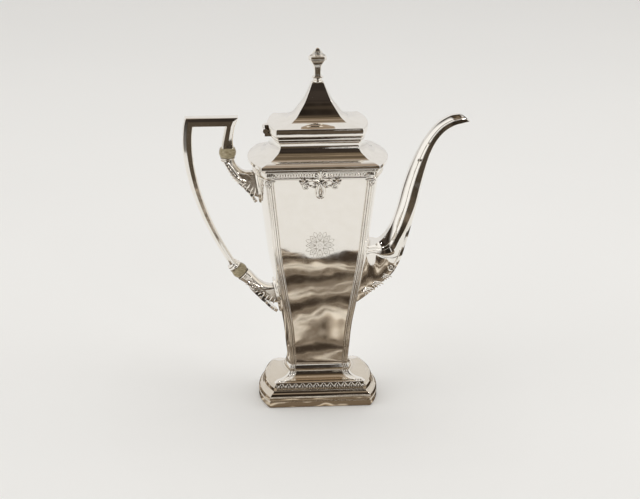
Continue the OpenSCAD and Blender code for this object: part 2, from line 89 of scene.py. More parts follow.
# the two bone breaks in the side view: half their length, their centres, the lower one's axis
BREAK_HALF = 3.5
UPPER_BREAK = (-62, 180.1)
LOWER_BREAK = (-54.8, 94.1)
LOWER_AXIS = (0.70, -0.714)


# ---------------- curves and rings


def curved(rows, steps):
    """Catmull-Rom curve through rows of numbers, with steps points per stretch."""
    rows = [np.array(r, float) for r in rows]
    out = []
    for i in range(len(rows) - 1):
        a, b = rows[max(i - 1, 0)], rows[i]
        c, d = rows[i + 1], rows[min(i + 2, len(rows) - 1)]
        for k in range(steps):
            t = k / steps
            out.append(0.5 * (2 * b + (c - a) * t + (2 * a - 5 * b + 4 * c - d) * t * t
                              + (3 * b - a - 3 * c + d) * t ** 3))
    return out + [rows[-1]]


def full_turn(count):
    return np.linspace(0, 2 * pi, count, endpoint=False)


def bend(a, b, c, t):
    """Point at share t of a curve from a to c that is drawn towards b."""
    return a * (1 - t) ** 2 + b * 2 * t * (1 - t) + c * t * t


def swelling(count, thin, more, start, end, power=1.0):
    """Radii that follow a sine from one share of its half-wave to another."""
    return thin + more * np.sin(pi * np.linspace(start, end, count)) ** power


def heading(a):
    return np.array((cos(a), sin(a)))


def bezier(p, t):
    """Point at share t of a cubic curve with four control points."""
    p = [np.array(q, float) for q in p]
    return (p[0] * (1 - t) ** 3 + p[1] * 3 * t * (1 - t) ** 2
            + p[2] * 3 * t * t * (1 - t) + p[3] * t ** 3)


def softened(rows, radius=0.35, closed=False, steps=3, sharp=12):
    """The same rows with each corner rounded, and a supporting row on each side of it."""
    rows = [np.array(r, float) for r in rows]
    n = len(rows)
    out = []
    for i, p in enumerate(rows):
        if not closed and i in (0, n - 1):
            out.append(p)
            continue
        a, b = rows[i - 1] - p, rows[(i + 1) % n] - p
        la, lb = np.linalg.norm(a), np.linalg.norm(b)
        turn = 180 - degrees(acos(np.clip(a @ b / (la * lb), -1, 1)))
        if turn < sharp:
            out.append(p)
            continue
        ra, rb = min(radius, 0.36 * la), min(radius, 0.36 * lb)
        start, end = p + a / la * ra, p + b / lb * rb
        out.append(p + a / la * ra * 1.35)
        out += [bend(start, p, end, k / steps) for k in range(steps + 1)]
        out.append(p + b / lb * rb * 1.35)
    return out


def plan(row, inset=0.0, bow_steps=40, straight_steps=10, corner=0.35):
    """Outline of one level [height, corner half-width, bow factor], as a closed ring."""
    z, half, bow = row
    c = half - inset
    d = half * DEPTH_RATIO - inset
    b = half * bow - inset
    span = hypot(2 * (b - c), d)
    corner = min(corner, 0.2 * c)
    near = corner / span

    def on_bow(u):
        return np.array((c + (b - c) * (1 - u * u), d * u))

    ring = []
    for sign in (-1, 1):
        tip = np.array((c, sign * d))
        flat = tip - (corner, 0)
        bowed = on_bow(sign * (1 - near))
        fillet = [tip - (1.4 * corner, 0)]
        fillet += [bend(flat, tip, bowed, t) for t in (0, 0.25, 0.5, 0.75, 1)]
        fillet.append(on_bow(sign * (1 - 1.4 * near)))
        if sign < 0:
            ring += fillet
            edge = 1 - 1.4 * near
            ring += [on_bow(edge * (2 * k / bow_steps - 1)) for k in range(1, bow_steps)]
        else:
            ring += fillet[::-1]
    run = c - 1.4 * corner
    ring += [np.array((run * (1 - 2 * k / straight_steps), d)) for k in range(1, straight_steps)]
    ring += [-p for p in ring]
    return [(p[0], p[1], z) for p in ring]


# ---------------- mesh building


class Shape:
    """Collects parts of one piece, in millimetres, and turns them into one object."""

    def __init__(self):
        self.points = []
        self.faces = []

    def grid(self, rings, caps=(True, True), loop=False):
        """Skin over closed rings; loop joins the last ring to the first instead of capping."""
        base = len(self.points)
        n, m = len(rings[0]), len(rings)
        self.points += [tuple(p) for r in rings for p in r]
        for j in range(m if loop else m - 1):
            a, b = base + j * n, base + (j + 1) % m * n
            self.faces += [(a + i, a + (i + 1) % n, b + (i + 1) % n, b + i) for i in range(n)]
        if not loop and caps[0]:
            self.faces.append(tuple(base + i for i in reversed(range(n))))
        if not loop and caps[1]:
            self.faces.append(tuple(base + (m - 1) * n + i for i in range(n)))
        return self

    def tube(self, path, radii, sides=10, squash=1.0, normal=None):
        """Round or flattened wire along a path; radii is one number or one per point."""
        path = [np.array(p, float) for p in path]
        n = len(path)
        if np.isscalar(radii):
            radii = [radii] * n
        side = None
        rings = []
        for i, p in enumerate(path):
            tangent = path[min(i + 1, n - 1)] - path[max(i - 1, 0)]
            tangent /= np.linalg.norm(tangent) + 1e-12
            up = side if normal is None else np.array(normal, float)
            if up is None:
                up = np.array((0, 0, 1.0)) if abs(tangent[2]) < 0.9 else np.array((1.0, 0, 0))
            up = up - tangent * (up @ tangent)
            up /= np.linalg.norm(up) + 1e-12
            side = up
            across = np.cross(tangent, up)
            rings.append([p + radii[i] * (across * cos(a) + up * squash * sin(a))
                          for a in full_turn(sides)])
        return self.grid(rings)

    def turned(self, profile, axis=(0, 1), origin=(0, 0), sides=48):
        """Solid of revolution through (height, radius) rows, about an axis in the side view."""
        turn = Vector((0, 0, 1)).rotation_difference(Vector((axis[0], 0, axis[1])))
        angles = [2 * pi * k / sides for k in range(sides)]
        rings = [[np.array(turn @ Vector((r * cos(a), r * sin(a), z)))
                  + (origin[0], 0, origin[1]) for a in angles] for z, r in profile]
        return self.grid(rings)

    def drop(self, place, center, sizes, sides=12, rows=7, taper=0.0):
        """Raised bead or petal: sizes are half-length across, half-length along, and height."""
        rings = []
        for j in range(rows + 1):
            v = pi * (j / rows) - pi / 2
            ring = []
            for k in range(sides):
                a = 2 * pi * k / sides
                along = cos(v) * sin(a)
                width = sizes[0] * (1 - taper * along)
                ring.append(place(center[0] + width * cos(v) * cos(a),
                                  center[1] + sizes[1] * along,
                                  center[2] + sizes[2] * sin(v)))
            rings.append(ring)
        return self.grid(rings, caps=(False, False))

    def object(self, name, sharp=32):
        """One smooth object, creased where faces meet at more than sharp degrees."""
        mesh = bpy.data.meshes.new(name)
        mesh.from_pydata([tuple(c * MM for c in p) for p in self.points], [], self.faces)
        mesh.validate()
        mesh.shade_smooth()
        mesh.set_sharp_from_angle(angle=radians(sharp))
        ob = bpy.data.objects.new(name, mesh)
        bpy.context.scene.collection.objects.link(ob)
        tidy_normals(ob)
        return ob


def tidy_normals(ob):
    """Merges doubled points and turns every face outwards."""
    bm = bmesh.new()
    bm.from_mesh(ob.data)
    bmesh.ops.remove_doubles(bm, verts=bm.verts, dist=1e-7)
    bmesh.ops.recalc_face_normals(bm, faces=bm.faces)
    bm.to_mesh(ob.data)
    bm.free()


def trim_with(ob, shape, sharp):
    """Cuts away what lies inside the shape."""
    tool = shape.object(ob.name + "_cutter")
    cut = ob.modifiers.new("trim", "BOOLEAN")
    cut.object = tool
    cut.operation = "DIFFERENCE"
    bpy.context.view_layer.update()
    mesh = bpy.data.meshes.new_from_object(ob.evaluated_get(bpy.context.evaluated_depsgraph_get()))
    ob.modifiers.clear()
    ob.data = mesh
    bpy.data.objects.remove(tool)
    mesh.materials.clear()
    mesh.shade_smooth()
    mesh.set_sharp_from_angle(angle=radians(sharp))


def piece(shape, name, node, material, sharp=32, cutter=None, body="body"):
    """Makes a shape a piece of the pot that rides a body and stands in for a CAD node, if any."""
    ob = shape.object(name, sharp)
    if cutter:
        trim_with(ob, cutter, sharp)
    ob.data.materials.append(material)
    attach(ob, body)
    if node:
        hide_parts(node)


def shell(outer, thickness):
    """Sheet-metal ring: outer rows going up, then the same rows inset going down."""
    rings = [plan(r) for r in outer] + [plan(r, thickness) for r in reversed(outer)]
    return Shape().grid(rings, loop=True)


# ---------------- materials


def node_material(name):
    mat = bpy.data.materials.new(name)
    mat.use_nodes = True
    tree = mat.node_tree
    shader = tree.nodes["Principled BSDF"]
    return mat, tree, shader


def feed(tree, node, inputs):
    """Gives inputs of a node their values, or links them to another node's outputs."""
    for key, value in inputs.items():
        if isinstance(value, bpy.types.NodeSocket):
            tree.links.new(value, node.inputs[key])
        else:
            node.inputs[key].default_value = value


def add(tree, kind, inputs=(), **settings):
    node = tree.nodes.new(kind)
    for key, value in settings.items():
        setattr(node, key, value)
    feed(tree, node, dict(inputs))
    return node


def noise(tree, place, scale, detail):
    inputs = {"Vector": place, "Scale": scale, "Detail": detail}
    return add(tree, "ShaderNodeTexNoise", inputs).outputs["Fac"]


def bump(tree, height, strength, distance, **inputs):
    inputs |= {"Height": height, "Strength": strength, "Distance": distance}
    return add(tree, "ShaderNodeBump", inputs).outputs["Normal"]


def map_range(tree, value, low_end, high_end, start=0.0, end=1.0):
    inputs = {"Value": value, "From Min": start, "From Max": end, "To Min": low_end,
              "To Max": high_end}
    return add(tree, "ShaderNodeMapRange", inputs).outputs["Result"]


def math_node(tree, operation, *values):
    return add(tree, "ShaderNodeMath", enumerate(values), operation=operation).outputs[0]


def vector_node(tree, operation, *values):
    return add(tree, "ShaderNodeVectorMath", enumerate(values), operation=operation)


def blend(tree, factor, first, second, mode="MIX"):
    """First colour where the factor is 0, second where it is 1."""
    inputs = {0: factor, 6: first, 7: second}
    return add(tree, "ShaderNodeMix", inputs, data_type="RGBA", blend_type=mode).outputs[2]


def ramp(tree, source, stops):
    """Colours along a factor; a stop with one number instead of a colour is grey."""
    node = add(tree, "ShaderNodeValToRGB", {"Fac": source})
    stops = [(place, (color,) * 3 if np.isscalar(color) else color) for place, color in stops]
    elements = node.color_ramp.elements
    elements[0].position, elements[0].color = stops[0][0], (*stops[0][1], 1)
    elements[1].position, elements[1].color = stops[-1][0], (*stops[-1][1], 1)
    for place, color in stops[1:-1]:
        elements.new(place).color = (*color, 1)
    return node.outputs["Color"]


def silver(name, bright, tarnish_and_shade, rough, recess, dent=0.55, scratch=0.10, open_at=0.72):
    """Polished silver: soft unevenness, fine wipe marks, and recesses darkened by tarnishing and
    painted shade.
    """
    mat, tree, shader = node_material(name)
    place = add(tree, "ShaderNodeTexCoord").outputs["Object"]
    cloud = noise(tree, place, 190.0, 5.0)
    stretch = add(tree, "ShaderNodeMapping", {"Vector": place, "Scale": (1.0, 1.0, 0.06),
                                              "Rotation": (0.0, 0.5, 0.0)}).outputs["Vector"]
    # ambient occlusion darkens the colour in the recesses: part tarnishing, part painted shade
    hollow = add(tree, "ShaderNodeAmbientOcclusion", {"Distance": recess}, samples=8)
    shade = ramp(tree, hollow.outputs["AO"],
                 [(open_at * 0.35, tarnish_and_shade), (open_at, bright), (1.0, bright)])
    tone = ramp(tree, cloud, [(0.3, (0.965, 0.96, 0.95)), (0.7, 1)])
    hammer = bump(tree, noise(tree, place, 34.0, 2.0), dent, 0.0004)
    marks = bump(tree, noise(tree, stretch, 2600.0, 3.0), scratch, 0.00002, Normal=hammer)
    feed(tree, shader, {"Base Color": blend(tree, 1.0, shade, tone, "MULTIPLY"), "Metallic": 1.0,
                        "Roughness": map_range(tree, cloud, rough * 0.7, rough * 1.45, 0.3, 0.7),
                        "Normal": marks})
    return mat


def bone(name):
    """Aged bone: olive yellow with darker grain rings and a soft polish."""
    mat, tree, shader = node_material(name)
    place = add(tree, "ShaderNodeTexCoord").outputs["Object"]
    stretch = add(tree, "ShaderNodeMapping", {"Vector": place, "Scale": (1.0, 1.0, 4.0)})
    grain = noise(tree, stretch.outputs["Vector"], 420.0, 5.0)
    color = ramp(tree, grain, [(0.3, (0.24, 0.19, 0.105)), (0.5, (0.41, 0.345, 0.215)),
                               (0.72, (0.56, 0.49, 0.34))])
    feed(tree, shader, {"Base Color": color, "Roughness": map_range(tree, grain, 0.22, 0.42),
                        "Normal": bump(tree, grain, 0.2, 0.0002)})
    return mat


# every finish darkens its recesses towards its second colour: tarnishing and painted shade
POLISHED = silver("polished_silver", (0.96, 0.93, 0.88), (0.50, 0.40, 0.28), 0.055, 0.004)
CHASED = silver("chased_silver", (0.94, 0.905, 0.85), (0.19, 0.145, 0.10), 0.10, 0.0015,
                dent=0.1, open_at=0.34)
ANTIQUE_SHADED = silver("antique_silver_shaded", (0.90, 0.86, 0.80), (0.10, 0.075, 0.05), 0.12, 0.0022,
                 dent=0.1, open_at=0.9)
GOLDEN = silver("golden_silver", (0.78, 0.71, 0.61), (0.30, 0.235, 0.16), 0.075, 0.004)
PLAIN = silver("plain_silver", (0.90, 0.86, 0.80), (0.42, 0.33, 0.22), 0.17, 0.004)
CUT = silver("bright_cut_silver", (0.62, 0.58, 0.52), (0.22, 0.18, 0.13), 0.32, 0.001, dent=0.0)
BONE = bone("bone")

# ---------------- profiles

COVE_BASE = 18.3
COVE_HALF = 28.2


def moulding(base, half, bow, steps):
    """Rows [height, corner half-width, bow factor] from steps up and out of one corner."""
    return [(base + up, half + out, bow) for up, out in steps]


def foot_rows():
    """Stepped plinth, the slope for the leaf band, and a quarter cove up to the body."""
    rows = softened(moulding(0, PLINTH_HALF, BOW_FOOT, [
        (0, -0.5), (0.4, -0.1), (4.4, 0), (4.8, -0.6), (5.2, -0.6), (5.5, -0.15), (6.8, -0.1),
        (8.4, -0.5), (9.7, -1.4), (10.3, -2.3), (11.1, -2.7), (11.6, -3.0), (12.4, -3.1),
        (14.2, -3.2), (16.0, -3.9), (17.2, -5.0), (17.7, -6.2), (18.2, -6.6)]), 0.25)
    steps = 16
    for i in range(steps + 1):
        a = pi / 2 * i / steps
        rows.append((COVE_BASE + (BODY_BASE - COVE_BASE) * (1 - cos(a) ** 0.8),
                     COVE_HALF - (COVE_HALF - STEM_TOP_HALF) * sin(a) ** 0.8,
                     BOW_FOOT + (BOW_STEM - BOW_FOOT) * i / steps))
    return rows


def body_rows():
    return curved([
        (BODY_BASE, STEM_TOP_HALF, BOW_STEM),
        (29, STEM_HALF, BOW_STEM),
        (40, STEM_HALF + 0.8, 1.13),
        (56, STEM_HALF + 2.2, 1.14),
        (78, STEM_HALF + 5.8, 1.155),
        (108, STEM_HALF + 10.6, 1.165),
        (130, BODY_HALF - 4, 1.165),
        (153, BODY_HALF - 1.5, 1.17),
        (FRIEZE_BASE, BODY_HALF, BOW_TOP),
        (BODY_TOP, BODY_HALF + 0.4, BOW_FLANGE)], 8)


BODY = body_rows()
FOOT = foot_rows()


def body_row_at(z):
    heights = [r[0] for r in BODY]
    return [np.interp(z, heights, [r[k] for r in BODY]) for k in range(3)]


def body_depth(z):
    return body_row_at(z)[1] * DEPTH_RATIO


def on_face(side):
    """Places a point given across, up and out from the front (-1) or back (1) of the body."""
    def place(x, z, out):
        return np.array((x, side * (body_depth(z) + out), z))
    return place


# ---------------- foot, body, shoulder, neck


def make_foot():
    piece(shell(FOOT, 1.4), "foot", "foot", GOLDEN)


def foot_face(side):
    """Surface of the leaf band on the foot: across, height in the band, and out."""
    band = [(z, c) for z, c, _ in FOOT if 10.9 < z < 17.8]

    def place(x, z, out):
        c = np.interp(z, [b[0] for b in band], [b[1] for b in band])
        return np.array((x, side * (c * DEPTH_RATIO + out), z + out * 0.25))
    return place


def make_foot_band(side, label):
    """Palmettes under arches between two wires, with a fan at each end."""
    place = foot_face(side)
    shape = Shape()
    half = 29.4
    count = 12
    pitch = 2 * half / count
    for z, radius in ((11.9, 0.42), (17.1, 0.4)):
        shape.tube([place(x, z, 0.15) for x in np.linspace(-half - 0.8, half + 0.8, 60)], radius)
    for k in range(count + 1):
        x = -half + pitch * k
        shape.drop(place, (x, 14.2, 0.1), (0.6, 2.1, 1.0), sides=10, rows=6, taper=-0.5)
        if k == count:
            break
        mid = x + pitch / 2
        shape.drop(place, (mid, 14.3, 0.15), (0.7, 1.6, 1.15), taper=0.3)
        for s in (-1, 1):
            shape.drop(place, (mid + 1.15 * s, 13.3, 0.1), (0.5, 1.0, 0.8), sides=8, rows=5)
        arch = [place(mid + 1.55 * cos(a), 14.1 + 2.5 * sin(a), 0.4)
                for a in np.linspace(-0.4, pi + 0.4, 14)]
        shape.tube(arch, 0.3, sides=6)
    for s in (-1, 1):
        for k in range(5):
            a = radians(100 + 28 * k) if s > 0 else radians(80 - 28 * k)
            shape.drop(place, (s * 31.0 + 0.9 * cos(a), 14.0 + 1.6 * sin(a), 0.1),
                       (0.55, 0.9, 0.9), sides=8, rows=5)
    piece(shape, f"foot_leaf_band_{label}", f"foot_band_{label}", ANTIQUE_SHADED)


def make_body_shell():
    """The vessel wall, pierced behind the spout as a strainer."""
    holes = Shape()
    pitch, first, rows, radius, through = 7, 78, 5, 1.5, (15, 50)
    for j in range(rows):
        for i in (-1, 0, 1):
            y = (i + (j % 2) / 2 - 0.25) * pitch * 0.8
            z = first + j * pitch
            holes.grid([[(x, y + radius * cos(a), z + radius * sin(a))
                         for a in full_turn(20)]
                        for x in through])
    piece(shell(BODY, WALL), "body_shell_wall", "body_shell", POLISHED, cutter=holes)


def make_frieze():
    """Band of alternating beads and leaves between two fine mouldings, under the flange."""
    rows = moulding(FRIEZE_BASE, BODY_HALF, BOW_FLANGE, [
        (0, 0.3), (0.2, 1.5), (1.1, 1.6), (1.3, 0.7), (4.9, 1.0), (5.1, 1.8), (5.6, 1.85),
        (5.8, 1.5)])
    rows += moulding(BODY_TOP, BODY_HALF, BOW_FLANGE, [(-0.4, 1.2), (-0.05, 2.25)])
    shape = shell(softened(rows, 0.14), WALL)
    middle = FRIEZE_BASE + 3.05
    reach = BODY_HALF - 3.4
    count = 37
    for side in (-1, 1):
        place = on_face(side)
        for k in range(count):
            x = -reach + 2 * reach * k / (count - 1)
            if abs(x) < 3.8:
                continue
            bead = k % 2 == 0
            wide, tall = (0.72, 1.25) if bead else (0.5, 1.5)
            shape.drop(place, (x, middle, 0.85), (wide, tall, 0.75), sides=10, rows=6,
                       taper=0.0 if bead else 0.4)
            for up in (-1, 1):
                shape.drop(place, (x + reach / (count - 1), middle + up * 1.35, 0.75),
                           (0.3, 0.35, 0.45), sides=6, rows=4)
        for sx in (-1, 1):
            corner_leaf(shape, place, sx)
    piece(shape, "frieze_band_beaded", "frieze_band", CHASED)


def corner_leaf(shape, place, sx):
    """Acanthus that fans over the end of the frieze band, next to a corner."""
    root = np.array((sx * (BODY_HALF - 0.2), FRIEZE_BASE + 1.0))
    for k in range(6):
        a = radians(93 + 15 * k)
        reach = 3.4 + 0.55 * k
        path = [root + r * heading(a) * (sx, 1) for r in np.linspace(0.3, reach, 10)]
        wire(shape, place, path, swelling(10, 0.25, 0.42, 1 / 11, 10 / 11), 1.0)


def make_shoulder():
    """Flat-edged flange and the slope from it up to the neck."""
    edge = moulding(BODY_TOP, FLANGE_HALF, BOW_FLANGE, [
        (0, -2.0), (0.25, -0.35), (0.45, 0), (2.4, 0), (2.75, -0.45)])
    slope = curved([
        edge[-1],
        (178.25, FLANGE_HALF - 2.4, BOW_FLANGE),
        (179.15, FLANGE_HALF - 4.6, BOW_FLANGE - 0.01),
        (179.6, FLANGE_HALF - 6.0, BOW_FLANGE - 0.015),
        (180.05, FLANGE_HALF - 7.0, BOW_FLANGE - 0.02),
        (181.0, FLANGE_HALF - 8.2, BOW_FLANGE - 0.025),
        (NECK_BASE, MOUTH_HALF + 2.1, BOW_LID + 0.005)], 6)
    rows = softened(edge, 0.22) + slope[1:]
    piece(shell(rows, 2.2), "shoulder_cover_flange", "shoulder_cover", POLISHED)


def make_neck():
    """Hollow-sided neck that ends in a bead, and the rounded mouth ring on it."""
    rows = [(NECK_BASE, MOUTH_HALF + 2.1, BOW_LID + 0.005)]
    rows += moulding(0, NECK_HALF, BOW_LID, [
        (184.6, 1.5), (187.6, 0.1), (190.2, 0.05), (191.6, 0.5)])
    rows = curved(rows, 8)
    bead = softened(moulding(0, NECK_HALF, BOW_LID, [
        (191.6, 0.5), (191.75, 1.1), (192.3, 1.35), (192.9, 1.1), (MOUTH_BASE, 0.6)]), 0.15)
    piece(shell(rows + bead[1:], WALL), "neck_collar_concave", "neck_collar", POLISHED)
    ring = moulding(MOUTH_BASE, MOUTH_HALF, BOW_LID, [(0, -0.7), (0.35, -0.1), (1.0, 0)])
    ring += moulding(MOUTH_TOP, MOUTH_HALF, BOW_LID, [(-0.35, -0.15), (0, -0.6)])
    piece(shell(softened(ring, 0.2), WALL), "mouth_ring_bead", "mouth_ring", POLISHED)


# ---------------- corner strips and capitals


def face_line(start):
    """The pot's front corner from the foot's cove up the body, with the outward direction."""
    rows = [r for r in FOOT if r[0] >= start] + [r for r in BODY[1:] if r[0] <= FRIEZE_BASE]
    line = [np.array((r[0], r[1], r[1] * DEPTH_RATIO, r[2])) for r in rows]
    out = []
    for i, p in enumerate(line):
        step = line[min(i + 1, len(line) - 1)] - line[max(i - 1, 0)]
        n = np.array((-step[2], step[0])) / hypot(step[0], step[2])
        out.append((p[0], p[1], p[2], p[3], n[0], n[1]))
    return out


def reeding(s):
    """Height of the corner strip s millimetres past the corner: two reeds before it, one on it
    and one on the bowed side."""
    for start, end, rise in ((-4.4, -3.9, 0.45), (-3.75, -2.3, 0.8), (-2.3, -0.85, 0.8),
                             (-0.85, 0.75, 0.85), (0.75, 2.3, 0.8)):
        if start <= s <= end:
            u = 2 * (s - start) / (end - start) - 1
            return 0.15 + rise * sqrt(max(0.0, 1 - u * u))
    return 0.15


def make_pilaster(side_x, side_y, label):
    """Reeded strip over one corner, from the foot's cove up to the frieze."""
    line = face_line(COVE_BASE - 1.6)
    bottom, top = BODY_BASE, line[-1][0]
    places = np.linspace(-4.4, 2.3, 68)
    rings = []
    for z, c, d, bow, nz, nd in line:
        share = min(1.0, max(0.0, (z - bottom) / (top - bottom)))
        flare = min(1.0, max(0.0, (bottom - z) / (bottom - COVE_BASE)))
        size = 0.74 + 0.26 * share + 0.5 * flare
        front, back = [], []
        for s in places:
            sink = 0.75 if s > -0.85 else 0.3
            h = reeding(s) * (0.8 + 0.2 * share) * (1 - sink * flare)
            if s <= 0:
                x, y = c + s * size, d
            else:
                u = 1 - s * size / d
                x, y = c + c * (bow - 1) * (1 - u * u), d * u
            turn = min(1.0, max(0.0, (s + 0.85) / 1.6))
            nx, ny = 0.91 * turn, 1 - 0.59 * turn
            front.append((side_x * (x + nx * h), side_y * (y + ny * nd * h), z + nz * h))
            back.append((side_x * (x - nx * 0.3), side_y * (y - ny * 0.3), z))
        rings.append(front + back[::-1])
    shape = Shape().grid(rings)
    piece(shape, f"pilaster_reeds_{label}", f"pilaster_{label}", POLISHED, sharp=50)


def spiral(center, outer, inner, turns, start, hand, steps=46):
    """Points of a scroll that winds inwards from start, an angle in radians."""
    out = []
    for k in range(steps + 1):
        t = k / steps
        r = outer + (inner - outer) * t ** 0.85
        a = start + hand * 2 * pi * turns * t
        out.append((center[0] + r * cos(a), center[1] + r * sin(a)))
    return out


def wire(shape, place, line, radii, out=0.5, sides=8):
    """Flattened relief wire on a face, standing out by a given height."""
    radii = 1.35 * np.array(radii) * np.ones(len(line))
    shape.tube([place(x, z, out) for x, z in line], radii, sides=sides, squash=0.6,
               normal=(0, 1, 0))


def make_capitals(side, label):
    """Scroll on each corner strip, wound in towards a small eye."""
    shape = Shape()
    place = on_face(side)
    for sx in (-1, 1):
        center = (sx * (BODY_HALF - 0.8), FRIEZE_BASE - 2.1)
        stalk = [(center[0] - sx * 4.6, FRIEZE_BASE - 0.35),
                 (center[0] - sx * 2.4, FRIEZE_BASE - 0.1)]
        line = stalk + spiral(center, 2.2, 0.55, 1.6, pi / 2, -sx)
        wire(shape, place, line, list(np.linspace(0.58, 0.36, len(line))), 1.25)
        shape.drop(place, (*center, 1.3), (0.55, 0.55, 0.5))
        shape.drop(place, (*center, 0.0), (2.25, 2.25, 1.1), sides=24)
        for k in range(2):
            shape.drop(place, (center[0] - sx * (0.7 + 1.1 * k), center[1] - 2.7, 0.95),
                       (0.5, 0.9, 0.5), sides=8, rows=5)
    piece(shape, f"scroll_capitals_{label}", f"capitals_{label}", CHASED)


def make_cartouche(side, label):
    """Small shell over a pair of scrolls, whose arms cross into a looped drop."""
    face = on_face(side)

    def place(x, z, out):
        step = min(1.0, max(0.0, (z - FRIEZE_BASE + 0.6) / 1.0))
        return face(x, z, out + 1.15 * step)
    shape = Shape()
    top = FRIEZE_BASE
    half_loop = curved([(-5.9, top + 0.45), (-3.2, top - 0.5), (-0.6, top - 1.9),
                        (1.2, top - 4.0), (2.3, top - 8.4), (1.6, top - 11.7),
                        (0, top - 12.75)], 7)
    for sx in (-1, 1):
        line = [(p[0] * sx, p[1]) for p in half_loop]
        wire(shape, place, line, [0.62 + 0.28 * min(1, k / 22) for k in range(len(line))],
             0.75 + 0.12 * sx, sides=10)
        arm = [tuple(p) for p in curved([(5.9, top + 0.45), (7.4, top - 0.3), (8.6, top - 1.2),
                                         (9.7, top - 1.8)], 5)]
        curl = spiral((9.7, top - 4.3), 2.5, 0.55, 1.65, pi / 2, -1)
        line = [(x * sx, z) for x, z in arm[:-1] + curl]
        radii = list(np.linspace(0.55, 0.62, 20)) + list(np.linspace(0.62, 0.4, len(line) - 20))
        wire(shape, place, line, radii, 0.85)
        shape.drop(place, (sx * 9.7, top - 4.3, 0.8), (0.62, 0.62, 0.6))
        shape.drop(place, (sx * 9.7, top - 4.3, 0.05), (2.4, 2.4, 0.3), sides=20)
        for tip, size in (((13.0, top + 2.0), 0.95), ((14.3, top - 0.8), 0.85),
                          ((13.5, top - 3.0), 0.7), ((10.4, top + 1.2), 0.7)):
            root = np.array((11.3, top - 2.2))
            tip = np.array(tip)
            path = [(root + (tip - root) * t) * (sx, 1) for t in np.linspace(0, 1, 10)]
            wire(shape, place, path,
                 0.8 * size * swelling(10, 0.35, 0.65, 1 / 11.5, 10 / 11.5), 0.6)
        inner = [(sx * x, z) for x, z in spiral((3.4, top - 3.6), 1.35, 0.3, 1.2, 0.2, 1, 24)]
        wire(shape, place, inner, 0.3, 0.55, sides=6)
        link = curved([(2.9, top - 5.2), (4.6, top - 5.4), (6.2, top - 4.6), (7.2, top - 4.4)], 5)
        wire(shape, place, [(sx * p[0], p[1]) for p in link], 0.36, 0.55, sides=6)
    shape.drop(place, (0, top - 9.0, 0.5), (0.62, 2.3, 0.85), sides=14, taper=0.4)
    for k in range(-3, 4):
        a = radians(90 - 22 * k)
        reach = 5.2 - 0.38 * abs(k)
        path = [(0, top + 1.2) + r * heading(a) for r in np.linspace(0.6, reach, 12)]
        wire(shape, place, path, swelling(12, 0.25, 0.42, 0, 0.5, 1.5), 0.65)
    shape.drop(place, (0, top + 0.7, 0.6), (1.2, 1.0, 1.0), sides=16)
    piece(shape, f"shell_cartouche_{label}", f"cartouche_{label}", CHASED)


def make_roundel():
    """A generic bright-cut rosette in the middle of the front panel."""
    shape = Shape()
    place = on_face(-1)
    middle = 119.0

    def cut(points, radius=0.16):
        shape.tube([place(x, middle + z, 0.0) for x, z in points], radius, sides=5,
                   squash=0.3, normal=(0, 1, 0))

    def spoke(a, start, end, radius):
        cut([t * heading(a) for t in (start, end)], radius)

    def petal(a, start, length, swell, count, radius=0.16, lean=0.0):
        """Two cuts outwards at an angle that bow apart and meet again."""
        tip, side = heading(a), heading(a + pi / 2)
        for s in (-1, 1):
            cut([tip * (start + length * t)
                 + side * s * swell * sin(pi * t) * (1 - lean * t)
                 for t in np.linspace(0, 1, count)], radius)
    cut([3 * heading(a) for a in np.linspace(0, 2 * pi, 73)])
    for k in range(8):
        a = pi * k / 4
        petal(a, 3, 6.8, 2.1, 16, lean=0.35)
        petal(a, 3.4, 4.3, 0.9, 12, 0.11)
        spoke(a, 3.4, 8.2, 0.12)
        petal(a + pi / 8, 6.2, 4.4, 1.2, 12, 0.13)
    for k in range(12):
        spoke(pi * k / 6, 0.6, 2.6, 0.1)
    piece(shape, "engraved_rosette", None, CUT)


# ---------------- spout

